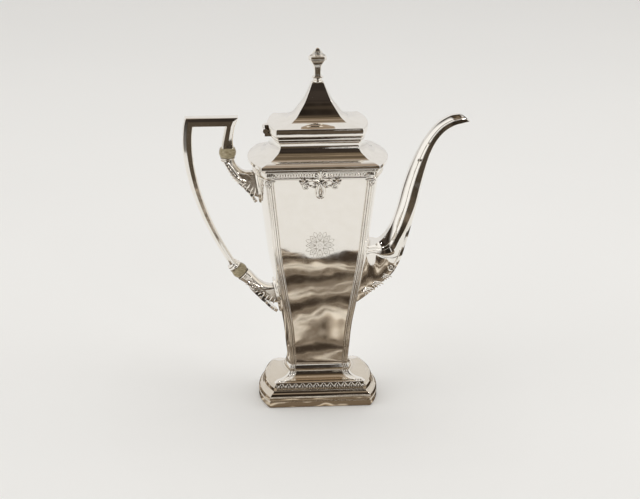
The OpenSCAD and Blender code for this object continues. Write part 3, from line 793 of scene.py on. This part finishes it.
# Outer edge, inner edge, half-width; the shares of it that are flat inside and outside, and the
# swell of the lowest panel; then the places of four ridges and their shares of the half-width.
SPOUT = [
    (24, 68, 26, 113.3, 13.5, 0.95, 0.42, 0.01, 0.03, 0.10, 0.13, 0.16, 1, 1, 1, 0.99),
    (33.1, 74.2, 33, 113.3, 12, 0.95, 0.42, 0.01, 0.03, 0.10, 0.13, 0.16, 1, 1, 1, 0.99),
    (42.9, 82.2, 38.5, 113.3, 9.6, 0.92, 0.42, 0.01, 0.05, 0.12, 0.17, 0.22, 1, 1, 1, 0.98),
    (52.5, 90.8, 42.5, 114.2, 8.0, 0.6, 0.45, 0.01, 0.16, 0.24, 0.34, 0.50, 0.86, 0.96, 1, 0.92),
    (58, 101.5, 46, 117.3, 7.3, 0.58, 0.64, 0, 0.27, 0.37, 0.55, 0.86, 0.78, 0.92, 1, 0.62),
    (61.2, 111.8, 49.3, 121.8, 6.8, 0.52, 0.66, 0, 0.30, 0.40, 0.60, 0.86, 0.77, 0.92, 1, 0.62),
    (64.5, 123.7, 52.6, 128.6, 6.4, 0.46, 0.68, 0, 0.31, 0.45, 0.72, 0.87, 0.76, 0.92, 1, 0.66),
    (68.6, 139, 56.4, 140.9, 5.9, 0.45, 0.50, 0, 0.34, 0.48, 0.85, 0.9, 0.76, 0.93, 0.97, 0.85),
    (71.5, 152, 59.7, 154, 5.5, 0.45, 0.42, 0, 0.34, 0.5, 0.88, 0.91, 0.76, 0.94, 0.93, 0.85),
    (74.7, 164.8, 64.3, 167.4, 5.2, 0.44, 0.42, 0, 0.34, 0.5, 0.87, 0.9, 0.76, 0.95, 0.95, 0.88),
    (78.2, 177, 70.2, 180.1, 5.0, 0.44, 0.42, 0, 0.34, 0.5, 0.87, 0.9, 0.76, 0.95, 0.95, 0.88),
    (83, 186, 76.4, 190.6, 4.9, 0.44, 0.42, 0, 0.34, 0.44, 0.83, 0.86, 0.76, 0.96, 0.95, 0.88),
    (88.6, 192.4, 83.2, 198.5, 4.8, 0.44, 0.42, 0, 0.34, 0.44, 0.83, 0.86, 0.78, 0.96, 0.95, 0.88),
    (94.7, 196.1, 91, 203.2, 4.8, 0.36, 0.42, 0, 0.34, 0.44, 0.83, 0.86, 0.80, 0.96, 0.95, 0.88),
    (100.2, 197.5, 96, 204.3, 4.4, 0.42, 0.38, 0, 0.34, 0.44, 0.83, 0.86, 0.80, 0.96, 0.95, 0.88),
    (105.4, 198.7, 98.6, 204.3, 3.8, 0.42, 0.28, 0, 0.34, 0.44, 0.83, 0.86, 0.8, 0.96, 0.95, 0.88)]
SPOUT_ROWS = curved(SPOUT, 8)


def spout_corners(row, inset=0.0):
    """Corners of one side (+Y) of a spout section, from the inner edge to the outer edge."""
    o, i = np.array(row[0:2]), np.array(row[2:4])
    u = (o - i) / np.linalg.norm(o - i)
    i, o = i + u * inset, o - u * inset
    half = row[4] - inset
    places = [(0, row[5]), *zip(row[8:12], row[12:16]), (1, row[6])]
    return [np.array((*(i + (o - i) * t), half * w)) for t, w in places]


def spout_side(row, inset=0.0):
    """One side of a section with its panels hollowed or swollen: points (x, z, y)."""
    corners = spout_corners(row, inset)
    side = [corners[0]]
    for k, sag in enumerate((0.04, 0, 0, 0.10, -row[7])):
        a, b = corners[k], corners[k + 1]
        depth = sag * np.linalg.norm(b - a)
        for t in (0.04, 0.2, 0.35, 0.5, 0.65, 0.8, 0.96):
            p = a + (b - a) * t
            p[2] -= depth * 4 * t * (1 - t)
            side.append(p)
        side.append(b)
    return side


SPOUT_SKIN = np.array([p for r in SPOUT_ROWS for p in spout_side(r)])


def spout_ring(row, inset=0.0):
    side = spout_side(row, inset)
    right = [(p[0], p[2], p[1]) for p in side]
    left = [(p[0], -p[2], p[1]) for p in reversed(side)]
    return right + left


def make_spout():
    """Hollow swan-neck spout, cut off where it meets the inside of the body."""
    rings = [spout_ring(r) for r in SPOUT_ROWS]
    tip = SPOUT_ROWS[-1]
    inner = [spout_ring(r, 0.95) for r in reversed(SPOUT_ROWS)]
    lip = [spout_ring(tip + np.array((0.15, 0.05, 0.15, 0.05) + 12 * (0,)), 0.3)]
    shape = Shape().grid(rings + lip + inner, loop=True)
    inside = Shape().grid([plan(r, 0.4) for r in BODY])
    piece(shape, "spout_swan_neck", "spout", POLISHED, 24, inside)


def make_spout_beads(side, label):
    """Fine raised lines along the two edges of the spout's inner flank."""
    shape = Shape()
    for corner, radius in ((1, 0.27), (2, 0.2)):
        line = [spout_corners(r)[corner] for r in SPOUT_ROWS[10:]]
        ledge = [max(0.0, 1 - k / 14) for k in range(len(line))]
        shape.tube([(p[0], side * p[2], p[1]) for p in line],
                   [radius * (1 + 0.7 * e) for e in ledge], sides=8)
    piece(shape, f"spout_edge_beads_{label}", None, POLISHED)


def on_spout(side):
    """Places a point given in side view, and out, on the front (-1) or back (1) of the spout."""
    def place(x, z, out):
        gaps = np.hypot(SPOUT_SKIN[:, 0] - x, SPOUT_SKIN[:, 1] - z)
        near = np.argsort(gaps)[:6]
        weights = 1 / (gaps[near] + 0.05)
        width = SPOUT_SKIN[near, 2] @ weights / weights.sum()
        return np.array((x, side * (width + out), z))
    return place


def make_spout_leaf(side, label):
    """Scroll at the throat of the spout and short fans of ribs along the belly's lower edge."""
    place = on_spout(side)
    shape = Shape()
    stalk = curved([(57.6, 107.5), (56.4, 103.6), (54.6, 99.4), (53.5, 96.2)], 7)
    line = [tuple(p) for p in stalk[:-1]] + spiral((50.9, 95.0), 2.55, 0.5, 1.5, -0.2, -1)
    radii = [0.3 + 0.4 * min(1, k / 20) for k in range(22)]
    radii += list(np.linspace(0.7, 0.42, len(line) - 22))
    shape.tube([place(x, z, 0.35) for x, z in line], radii, sides=10)
    shape.drop(place, (50.9, 95.0, 0.5), (0.7, 0.7, 0.6))
    keel = [r[0:2] + 0.02 * (r[2:4] - r[0:2]) for r in SPOUT_ROWS[5:27]]
    shape.tube([(p[0], side * 3.6, p[1]) for p in keel], 0.55, sides=10)
    for x, z, size in ((30.5, 78.5, 1.15), (37.5, 82.5, 1.05), (44.5, 87.5, 0.9)):
        for k in range(4):
            tip = np.array((x + size * (2.2 + 2.0 * k), z - size * (3.4 - 1.15 * k)))
            root = np.array((x + 0.5 * k, z + 0.9 * k))
            middle = np.array((x + size * (2.0 + 1.4 * k), z + size * (0.2 + 0.4 * k)))
            path = [bend(root, middle, tip, t) for t in np.linspace(0, 1, 14)]
            shape.tube([place(*p, 0.05) for p in path],
                       size * swelling(14, 0.25, 0.42, 0.1, 0.95), sides=8)
    piece(shape, f"spout_scroll_and_leaf_{label}", f"spout_leaf_{label}", CHASED)


# ---------------- handle

HANDLE_OUTER = ((-90.9, 205.6), (-97, 184), (-89.5, 141), (-58.9, 95.2))
HANDLE_INNER = ((-85.2, 199), (-88.5, 178), (-83, 140), (-55.5, 97.9))
DROP = [(-57.8, 183.6, -66, 183.6), (-58.2, 187, -65.8, 187), (-58.1, 191.5, -64.9, 191.5),
        (-57, 198.7, -63.4, 198.8)]
TOP_RIGHT = (-54.3, 205.6, -63.4, 199)


def bar_ring(row, half, chamfer, radius=0.28, ridge=0.0):
    """Chamfered section between an outer and an inner edge point, with softened corners; a ridge
    splits each side into an outer facet that leans back and an inner one that does not."""
    o, i = np.array((row[0], row[1])), np.array((row[2], row[3]))
    u = (i - o) / np.linalg.norm(i - o) * chamfer
    a, b = o + u * (1 - 0.5 * (ridge > 0)), i - u * (1 - 0.3 * (ridge > 0))
    m = a + (b - a) * 0.42
    low = half - ridge
    corners = [(o[0], chamfer - half, o[1]), (o[0], half - chamfer, o[1]), (a[0], low, a[1])]
    corners += [(m[0], half, m[1])] * (ridge > 0)
    corners += [(b[0], half, b[1]),
                (i[0], half - chamfer, i[1]), (i[0], chamfer - half, i[1]), (b[0], -half, b[1])]
    corners += [(m[0], -half, m[1])] * (ridge > 0)
    corners += [(a[0], -low, a[1])]
    return softened(corners, radius, closed=True, sharp=6)


def make_handle():
    """Chamfered bar: drop from the corner to the upper break, and the bowed back."""
    corner = [*HANDLE_OUTER[0], *HANDLE_INNER[0]]
    back = [[*bezier(HANDLE_OUTER, t), *bezier(HANDLE_INNER, t)]
            for t in np.linspace(0, 1, 49)[1:]]
    drop = curved(DROP, 6)
    rows = softened([*drop, TOP_RIGHT, corner, *back], 0.7, sharp=25)
    shape = Shape().grid([bar_ring(r, 4.0, 1.3, 0.2, 0.5) for r in rows])
    ferrule = softened([(-BREAK_HALF - back, radius) for back, radius in (
        (4.4, 2.6), (4.2, 3.9), (3.2, 4.4), (2.4, 4.1), (1.9, 4.7), (1.1, 4.9), (0.1, 4.7),
        (0.05, 0.5))], 0.25)
    shape.turned(ferrule, axis=LOWER_AXIS, origin=LOWER_BREAK)
    piece(shape, "handle_grip_chamfered", "handle_grip", POLISHED, sharp=40)


def make_heat_break(name, origin, axis, radius, node):
    """Turned bone, barrel-shaped, with two scored lines and a tenon at each end."""
    half = BREAK_HALF
    rows = [(-half - 2.9, 1.95), (-half - 0.02, 1.95), (-half + 0.05, radius - 1.3)]
    for k in range(17):
        u = -1 + k / 8
        rows.append((half * 0.94 * u, radius - 0.95 * u * u - 0.12 * (abs(abs(u) - 0.5) < 0.07)))
    rows += [(half - 0.05, radius - 1.3), (half + 0.02, 1.95), (half + 2.9, 1.95)]
    shape = Shape().turned(softened(rows, 0.2), axis=axis, origin=origin)
    piece(shape, name, node, BONE)


def make_socket(name, rows, origin, axis, node):
    """Cast arm: a swelling chamfered bar with a beaded ring where it takes the heat break."""
    line = curved(rows, 8)
    widths = [4.4 + 1.2 * max(0, k / (len(line) - 1) - 0.55) for k in range(len(line))]
    shape = Shape().grid([bar_ring(r, y, 1.9, 0.6) for r, y in zip(line, widths)])
    ring = softened([(BREAK_HALF + out, radius) for out, radius in (
        (0.02, 0.5), (0.05, 4.6), (0.7, 5.2), (1.4, 4.7), (1.7, 4.3), (2.3, 4.8), (2.9, 4.4),
        (3.2, 2.0))], 0.2)
    shape.turned(ring, axis=axis, origin=origin)
    for side in (-1, 1):
        for j, (lift, size) in enumerate(((0.50, 0.9), (0.32, 0.7), (0.68, 0.7))):
            path = []
            for k in range(8, len(line) - 10):
                r = line[k]
                t = lift + 0.10 * (j - 1) * sin(k * 0.25)
                path.append((r[0] + (r[2] - r[0]) * t, side * (widths[k] - 0.15),
                             r[1] + (r[3] - r[1]) * t))
            edge = 0.6 / (len(path) + 0.2)
            shape.tube(path, swelling(len(path), 0, size, edge, 1 - edge, 0.6), sides=8)
        for k in range(10, len(line) - 4, 3):
            r, q = line[k], line[min(k + 5, len(line) - 1)]
            path = [(r[0] + (q[2] - r[0]) * t * 0.5,
                     side * (widths[k] - 0.1 + 0.2 * sin(pi * t)),
                     r[1] + (q[3] - r[1]) * t * 0.5) for t in np.linspace(-0.02, 0.8, 12)]
            shape.tube(path, swelling(12, 0, 0.75, 0.12, 0.92), sides=8)
    piece(shape, name, node, ANTIQUE_SHADED, sharp=40)


UPPER_SOCKET = [(-66.6, 176.6, -57.2, 176.6), (-65.4, 174.6, -57.6, 175),
                (-62.8, 169.4, -55.4, 170.4), (-59.4, 163.4, -51.4, 167),
                (-54.6, 158, -46.6, 166.4), (-47, 151, -42.6, 166.4), (-40.4, 147.6, -40.4, 166.4)]
LOWER_SOCKET = [(-55.6, 88.3, -48.9, 94.9), (-52, 86, -45.7, 91.9),
                (-46, 80.8, -40.5, 86.3), (-40.5, 75.8, -35.5, 83.6),
                (-33.5, 71, -30, 83.4), (-26, 70, -26, 83.4)]


def make_plate(name, bottom, top, half, node):
    """Shield-shaped plate on the bowed end, with a raised border."""
    def on_end(y, z, out):
        row = body_row_at(z)
        c, d, b = row[1], row[1] * DEPTH_RATIO, row[1] * row[2]
        u = y / d
        return np.array((-(c + (b - c) * (1 - u * u)) - out, y, z))
    tall = top - bottom
    outline = curved([(0, bottom), (half * 0.45, bottom + tall * 0.10),
                      (half * 0.95, bottom + tall * 0.34), (half, bottom + tall * 0.62),
                      (half * 0.82, bottom + tall * 0.9), (half * 0.5, top), (0, top - 0.6)], 8)
    outline += [(-y, z) for y, z in reversed(outline[1:-1])]
    center = np.array((0, (bottom + top) / 2))
    shape = Shape()
    levels = ((1.02, -0.3), (1.0, 0.6), (0.96, 1.25), (0.88, 1.4), (0.80, 1.0), (0.74, 0.85))
    rings = [[on_end(*(center + (np.array(p) - center) * s), h) for p in outline]
             for s, h in levels]
    shape.grid(rings)
    piece(shape, name, node, CHASED)


def make_leaf(name, spine, width, lobes, node, toward):
    """Acanthus leaf along a side-view spine: lobed edge, mid-rib and slanting veins."""
    line = [np.array(p, float) for p in curved(spine, 14)]
    count = len(line)
    rings = []
    cols = 25
    for k, p in enumerate(line):
        s = k / (count - 1)
        tangent = line[min(k + 1, count - 1)] - line[max(k - 1, 0)]
        tangent /= np.linalg.norm(tangent)
        normal = np.array((tangent[1], -tangent[0])) * toward
        body = sin(pi * min(1, 0.12 + 0.9 * s)) ** 0.55
        top, under = [], []
        for j in range(cols):
            u = 2 * j / (cols - 1) - 1
            scallop = 0.80 + 0.20 * abs(sin(pi * (lobes * s + 0.25)))
            y = u * width * body * scallop
            vein = cos(2 * pi * (lobes * s - 0.9 * abs(u)))
            h = (0.5 + 0.55 * (1 - abs(u)) ** 0.6 + 0.28 * vein * abs(u) ** 0.5
                 + 0.5 * exp(-(u / 0.09) ** 2))
            upper, lower = p + normal * h, p - normal * 0.9
            top.append((upper[0], y, upper[1]))
            under.append((lower[0], y * 0.92, lower[1]))
        rings.append(top + under[::-1])
    shape = Shape().grid(rings)
    piece(shape, name, node, CHASED, sharp=60)


# ---------------- lid


def make_lid():
    """Rim, domed cover with its hollow underside, and the skirt that fits inside the mouth."""
    rim = moulding(LID_BASE, LID_HALF, BOW_LID, [
        (0, -1.1), (0.3, -0.5), (0.9, -0.2), (2.4, -0.02), (4.2, 0)])
    rim += moulding(LID_RIM_TOP, LID_HALF, BOW_LID, [(-0.6, -0.05), (0, -0.35)])
    piece(shell(softened(rim, 0.25), 2.2), "lid_rim_moulding", "lid_rim", POLISHED, body="lid")
    flange = moulding(LID_RIM_TOP, LID_HALF, BOW_LID, [(0, -0.35), (0.2, -0.8)])
    foot = moulding(LID_RIM_TOP, DOME_HALF, BOW_LID, [
        (0.9, 6.0), (2.3, 0.6), (2.7, -0.1), (3.4, -0.9)])
    dome = curved(foot[1:] + [(207, 15.1, 1.15), (211.5, 12.2, 1.14), (216.5, 9.1, 1.12),
                              (223, 6.3, 1.1), (DOME_TOP - 0.3, 4.2, 1.08)], 9)
    cap = [(DOME_TOP, 3.9, 1.08), (DOME_TOP, 1.5, 1.08)]
    outer = softened(flange + foot[:2], 0.25) + dome[1:] + cap
    inner = [r for r in reversed(dome) if r[0] < 222.2]
    rings = [plan(r) for r in outer]
    rings += [plan((222.5, 1.5, 1.08)), plan((222.5, inner[0][1] - 1.4, 1.1))]
    rings += [plan((r[0] - 0.5, r[1], r[2]), WALL) for r in inner]
    rings += [plan((LID_RIM_TOP + 0.3, DOME_HALF - 0.2, BOW_LID), WALL),
              plan((LID_RIM_TOP - 0.3, LID_HALF - 3.2, BOW_LID)),
              plan((LID_RIM_TOP - 0.3, LID_HALF - 2.4, BOW_LID))]
    piece(Shape().grid(rings, loop=True), "lid_dome_pagoda", "lid_cover", POLISHED, sharp=28,
          body="lid")
    skirt = softened(moulding(0, NECK_HALF, BOW_LID, [
        (191.5, 0), (191.7, 0.25), (194.6, 0.25), (LID_BASE + 1, 0)]), 0.15)
    rings = [plan(r, 2.2) for r in skirt] + [plan(r, 3.2) for r in reversed(skirt)]
    piece(Shape().grid(rings, loop=True), "lid_bezel_skirt", "lid_bezel", PLAIN, body="lid")


def make_finial():
    """Turned collar, and a baluster with a ribbed top on a bow-ended plan like the pot's."""
    collar = softened([(DOME_TOP + up, radius) for up, radius in (
        (0, 0.6), (0, 3.2), (0.3, 3.5), (0.9, 3.55), (1.3, 3.2), (1.5, 2.5), (1.9, 2.4),
        (2.1, 3.1), (2.5, 3.4), (2.95, 3.2), (3, 0.6))], 0.15)
    piece(Shape().turned(collar), "finial_collar_turned", "finial_collar", CHASED, body="lid")
    rows = softened([
        (231.9, 0.8), (231.9, 2.7), (232.1, 2.95), (232.5, 2.9), (232.8, 2.2), (233.4, 1.9),
        (234.2, 1.8), (236.5, 1.85), (239.6, 2.05), (240.9, 2.5), (241.3, 2.45),
        (241.5, 2.75), (242.4, 3.3), (243.6, 3.9), (244.3, 4.3), (244.5, 4.62), (244.95, 4.65),
        (245.05, 4.4), (245.3, 4.4), (245.45, 4.62), (246.7, 4.62), (247.0, 4.3), (247.3, 3.7),
        (248.0, 2.9), (248.7, 2.45), (249.6, 2.2), (250.3, 2.1), (250.5, 1.6), (251.2, 1.45),
        (POT_TOP - 0.6, 1.1), (POT_TOP, 0.4)], 0.12)

    def outline(z, c):
        return [(p[0], 1.2 * p[1], p[2]) for p in plan((z, c, 1.36), 0, 16, 6, 0.12)]
    shape = Shape().grid([outline(*r) for r in rows])
    for k in range(16):
        a = 2 * pi * (k + 0.5) / 16

        def place(z, a=a):
            c = np.interp(z, [247.2, 248, 249.5, 250.2], [4.1, 2.9, 2.25, 2.15])
            return np.array((c * 1.3 * cos(a), c * 0.95 * sin(a), z))
        shape.tube([place(z) for z in np.linspace(247.3, 250.0, 9)],
                   list(np.linspace(0.45, 0.22, 9)), sides=6)
    piece(shape, "finial_baluster", "finial", CHASED, sharp=30, body="lid")


# ---------------- the CAD nodes that stay


def dress_cad_nodes():
    """Gives silver to the floor, pins, hinge and fastenings, which stay as the CAD has them."""
    for name in ("body_floor", "upper_break_pins", "lower_break_pins", "hinge_pin",
                 "body_hinge_leaf", "lid_hinge_leaf", "finial_stud", "finial_washer",
                 "finial_nut"):
        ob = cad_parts[name]
        ob.data.materials.clear()
        ob.data.materials.append(POLISHED if "hinge" in name else PLAIN)


# ---------------- studio

# the silver mirrors the paper only behind this line, in millimetres from the pot's axis
PAPER_FRONT = -515
PAPER_REACH = 5000


def paper_material():
    mat, tree, shader = node_material("studio_paper")
    place = add(tree, "ShaderNodeTexCoord").outputs["Object"]
    tint = ramp(tree, noise(tree, place, 3.0, 2.0),
                [(0.3, (0.865, 0.872, 0.87)), (0.7, (0.876, 0.882, 0.88))])
    feed(tree, shader, {"Base Color": tint, "Roughness": 0.8, "Specular IOR Level": 0.1})
    return mat


def sheet_of_paper(name, line, material):
    """Paper across the set, through side-view points (forward or back, up)."""
    shape = Shape()
    shape.points = [(x, y, z) for y, z in line for x in (-PAPER_REACH, PAPER_REACH)]
    shape.faces = [(2 * k, 2 * k + 1, 2 * k + 3, 2 * k + 2) for k in range(len(line) - 1)]
    ob = shape.object(name)
    ob.data.materials.append(material)
    return ob


def make_stage():
    """White paper on a flat floor, in two sheets that meet in front of the pot."""
    material = paper_material()
    sheet_of_paper("studio_floor", [(PAPER_FRONT, -0.02), (PAPER_REACH, -0.02)], material)
    # in front of the line the silver mirrors the dark room instead of paper
    apron = sheet_of_paper("studio_apron", [(-PAPER_REACH, -0.4), (PAPER_FRONT, -0.4)], material)
    apron.visible_glossy = False


# the round glowing patch of painted reflections, in millimetres: half its width, its reach to the
# front and to the back, the
#  height it floats at; and the angles where its edge is drawn in, behind and before the pot
GLINT_HALF, GLINT_FRONT, GLINT_BACK, GLINT_HEIGHT = 150, 235, 190, 0.5
NOTCHES = (0.53 * pi, 1.53 * pi)


def make_side_painted_reflection():
    """Narrow continuation of the glowing patch of painted reflections, in front of the handle."""
    shape = Shape()
    shape.points = [(-150, PAPER_FRONT, 0.6), (-54, PAPER_FRONT, 0.6), (-66, -255, 0.6),
                    (-170, -255, 0.6)]
    shape.faces = [(0, 1, 2, 3)]
    return shape.object("studio_side_painted_reflection")


def make_painted_reflection_patch():
    """Glowing streaked patch round the pot that only the silver mirrors: painted reflections, as
    of a polished table top.
    """
    shape = Shape()
    rings = []
    for r in (0.02, 0.3, 0.6, 0.85, 1.0):
        ring = []
        for a in full_turn(240):
            notch = sum(exp(-((a - turn) / 0.13) ** 2) for turn in NOTCHES)
            reach = r * (1 - 0.16 * r * notch)
            depth = GLINT_FRONT if sin(a) < 0 else GLINT_BACK
            ring.append((GLINT_HALF * reach * cos(a),
                         -10 + depth * reach * sin(a), GLINT_HEIGHT))
        rings.append(ring)
    shape.grid(rings, caps=(True, False))
    ob = shape.object("studio_painted_reflection")
    mat = bpy.data.materials.new("studio_painted_reflection")
    mat.use_nodes = True
    tree = mat.node_tree
    tree.nodes.clear()
    place = add(tree, "ShaderNodeTexCoord").outputs["Object"]
    bands = add(tree, "ShaderNodeTexWave",
                {"Vector": place, "Scale": 7.5, "Distortion": 8.0, "Detail": 4.0,
                 "Detail Scale": 1.1, "Detail Roughness": 0.6}, bands_direction="Y")
    cloud = noise(tree, place, 14.0, 3.0)
    mixed = math_node(tree, "ADD", math_node(tree, "MULTIPLY", bands.outputs["Fac"], 0.55),
                      math_node(tree, "MULTIPLY", cloud, 0.45))
    # painted reflection: dark browns broken by cream streaks
    color = ramp(tree, mixed, [(0.24, (0.045, 0.032, 0.022)), (0.36, (0.12, 0.092, 0.066)),
                               (0.405, (0.38, 0.31, 0.235)), (0.43, (0.15, 0.115, 0.082)),
                               (0.54, (0.20, 0.155, 0.112)), (0.575, (0.07, 0.052, 0.036)),
                               (0.61, (0.26, 0.205, 0.15)), (0.67, (0.62, 0.53, 0.42)),
                               (0.71, (0.86, 0.79, 0.68)), (0.76, (0.20, 0.155, 0.11))])
    # the patch glows, though it is no lamp, so its painted reflections show without lighting
    glow = add(tree, "ShaderNodeEmission", {"Color": color, "Strength": 1.0})
    add(tree, "ShaderNodeOutputMaterial", {"Surface": glow.outputs[0]})
    for patch in (ob, make_side_painted_reflection()):
        patch.data.materials.append(mat)
        patch.visible_camera = False
        patch.visible_diffuse = False
        patch.visible_shadow = False


def make_world():
    """White studio with a dark room in front; the camera itself sees an even light grey."""
    world = bpy.data.worlds.new("studio")
    bpy.context.scene.world = world
    world.use_nodes = True
    tree = world.node_tree
    tree.nodes.clear()
    direction = add(tree, "ShaderNodeTexCoord").outputs["Generated"]
    level_way = vector_node(tree, "MULTIPLY", direction, (1, 1, 0)).outputs[0]
    level_way = vector_node(tree, "NORMALIZE", level_way).outputs[0]
    ahead = vector_node(tree, "DOT_PRODUCT", level_way, (0.10, -0.995, 0)).outputs["Value"]
    ahead = math_node(tree, "MULTIPLY_ADD", ahead, 0.5, 0.5)
    up = add(tree, "ShaderNodeSeparateXYZ", {"Vector": direction}).outputs["Z"]
    up = math_node(tree, "MULTIPLY_ADD", up, 0.5, 0.5)
    # a faint band at the horizon and a fainter one high up, strongest at the sides
    bands = ramp(tree, up, [(0.40, 0), (0.44, 1), (0.56, 1), (0.59, 0), (0.77, 0), (0.80, 0.12),
                            (0.92, 0.12), (0.95, 0)])
    where = ramp(tree, ahead, [(0.02, 0.07), (0.25, 0.12), (0.40, 0.2), (0.55, 0.1), (0.75, 0)])
    # the white is dimmer behind the pot than beside it
    dim = math_node(tree, "MULTIPLY", bands, where)
    around = ramp(tree, ahead, [(0.35, (0.80, 0.785, 0.765)), (0.60, (1.0, 0.985, 0.96))])
    white = blend(tree, dim, around, (0.06, 0.05, 0.04, 1))
    overhead = ramp(tree, up, [(0.975, 0), (0.99, 1)])
    white = blend(tree, overhead, white, (0.36, 0.285, 0.215, 1))
    # the dark room: browns that change with height, broken by upright shapes
    stretch = vector_node(tree, "MULTIPLY", direction, (6.5, 6.5, 1.3)).outputs[0]
    shapes = ramp(tree, noise(tree, stretch, 1.0, 4.0),
                  [(0.36, 0.25), (0.50, 0.8), (0.60, 1.5), (0.70, 3.0)])
    tones = ramp(tree, up, [(0.30, (0.10, 0.078, 0.055)), (0.50, (0.050, 0.038, 0.028)),
                            (0.62, (0.050, 0.039, 0.032)), (0.78, (0.030, 0.022, 0.016)),
                            (0.90, (0.085, 0.064, 0.042)), (0.955, (0.14, 0.105, 0.07)),
                            (0.975, (0.34, 0.27, 0.20))])
    room = blend(tree, 1.0, tones, shapes, "MULTIPLY")
    facing = ramp(tree, ahead, [(0.875, 0), (0.945, 1)])
    below_top = ramp(tree, up, [(0.975, 1), (0.993, 0)])
    dark = math_node(tree, "MULTIPLY", facing, below_top)
    mirrored = blend(tree, dark, white, room)
    rays = add(tree, "ShaderNodeLightPath")
    seen = blend(tree, rays.outputs["Is Camera Ray"], mirrored, (0.87, 0.865, 0.85, 1))
    shine = add(tree, "ShaderNodeBackground", {"Color": seen, "Strength": 0.98})
    add(tree, "ShaderNodeOutputWorld", {"Surface": shine.outputs[0]})


def make_light(name, place, target, size, power, color=(1, 0.98, 0.95)):
    data = bpy.data.lights.new(name, "AREA")
    data.shape = "RECTANGLE"
    data.size, data.size_y = size
    data.energy = power
    data.color = color
    ob = bpy.data.objects.new(name, data)
    ob.location = place
    ob.rotation_euler = (Vector(target) - Vector(place)).to_track_quat("-Z", "Y").to_euler()
    bpy.context.scene.collection.objects.link(ob)
    return ob


def make_lights():
    """Softboxes the silver does not mirror, and three small bright patches that it does."""
    middle = (0, 0, 0.12)
    for softbox in (
            make_light("top_softbox", (0.1, 0.3, 1.5), middle, (1.6, 1.2), 4.2),
            make_light("left_softbox", (-1.3, -0.2, 0.8), middle, (1.0, 1.2), 2.6),
            make_light("right_softbox", (1.3, -0.1, 0.8), middle, (1.0, 1.2), 2.6),
            make_light("backdrop_softbox", (0, 0.5, 1.2), (0, 1.2, 0.0), (2.4, 0.4), 1.05)):
        softbox.visible_glossy = False
    make_light("window_patch", (0.62, -1.25, 0.62), middle, (0.10, 0.22), 0.8)
    make_light("lamp_patch", (0.34, -1.3, 0.95), middle, (0.06, 0.06), 0.4)
    make_light("neck_window", (0.119, -1.17, 0.22), middle, (0.02, 0.36), 0.025)


def make_camera():
    """Slightly above and a little towards the handle, as such a set is photographed."""
    distance, height, azimuth, pitch = 1.432, 0.601, radians(-4), radians(19)
    data = bpy.data.cameras.new("camera")
    data.sensor_width = 36
    data.lens = 121.8
    data.clip_start = 0.05
    ob = bpy.data.objects.new("camera", data)
    ob.location = (sin(azimuth) * distance, -cos(azimuth) * distance, height)
    off_axis = radians(0.066)
    ob.rotation_euler = (pi / 2 - pitch, 0, azimuth - off_axis)
    bpy.context.scene.collection.objects.link(ob)
    bpy.context.scene.camera = ob


bpy.context.scene.view_settings.view_transform = "Standard"
make_camera()
make_stage()
make_painted_reflection_patch()
make_world()
make_lights()
make_foot()
for side, label in ((-1, "front"), (1, "back")):
    make_foot_band(side, label)
    make_capitals(side, label)
    make_cartouche(side, label)
    make_spout_leaf(side, label)
    make_spout_beads(side, label)
make_body_shell()
make_frieze()
make_shoulder()
make_neck()
for side_x, side_y, label in ((-1, -1, "front_left"), (1, -1, "front_right"),
                              (-1, 1, "back_left"), (1, 1, "back_right")):
    make_pilaster(side_x, side_y, label)
make_roundel()
make_spout()
make_handle()
make_heat_break("upper_heat_break_bone", UPPER_BREAK, (0, -1), 5.9, "upper_heat_break")
make_heat_break("lower_heat_break_bone", LOWER_BREAK, LOWER_AXIS, 5.4, "lower_heat_break")
make_socket("upper_handle_arm", UPPER_SOCKET, UPPER_BREAK, (0, -1), "upper_handle_socket")
make_socket("lower_handle_arm", LOWER_SOCKET, LOWER_BREAK, LOWER_AXIS, "lower_handle_socket")
make_plate("upper_plate_shield", 143, 166.8, 7.5, "upper_socket_plate")
make_plate("lower_plate_shield", 62.5, 87.5, 6.5, "lower_socket_plate")
make_leaf("upper_acanthus_leaf", [(-57, 162), (-52, 156.6), (-47.3, 151.6), (-44.3, 147.2),
                                  (-42.2, 143.9)], 4.6, 5, "upper_socket_leaf", 1)
make_leaf("lower_acanthus_leaf", [(-46.6, 81.2), (-41.8, 76), (-36.4, 70.6), (-31.8, 65.8),
                                  (-28.2, 63.2)], 4.6, 5, "lower_socket_leaf", 1)
make_lid()
make_finial()
dress_cad_nodes()
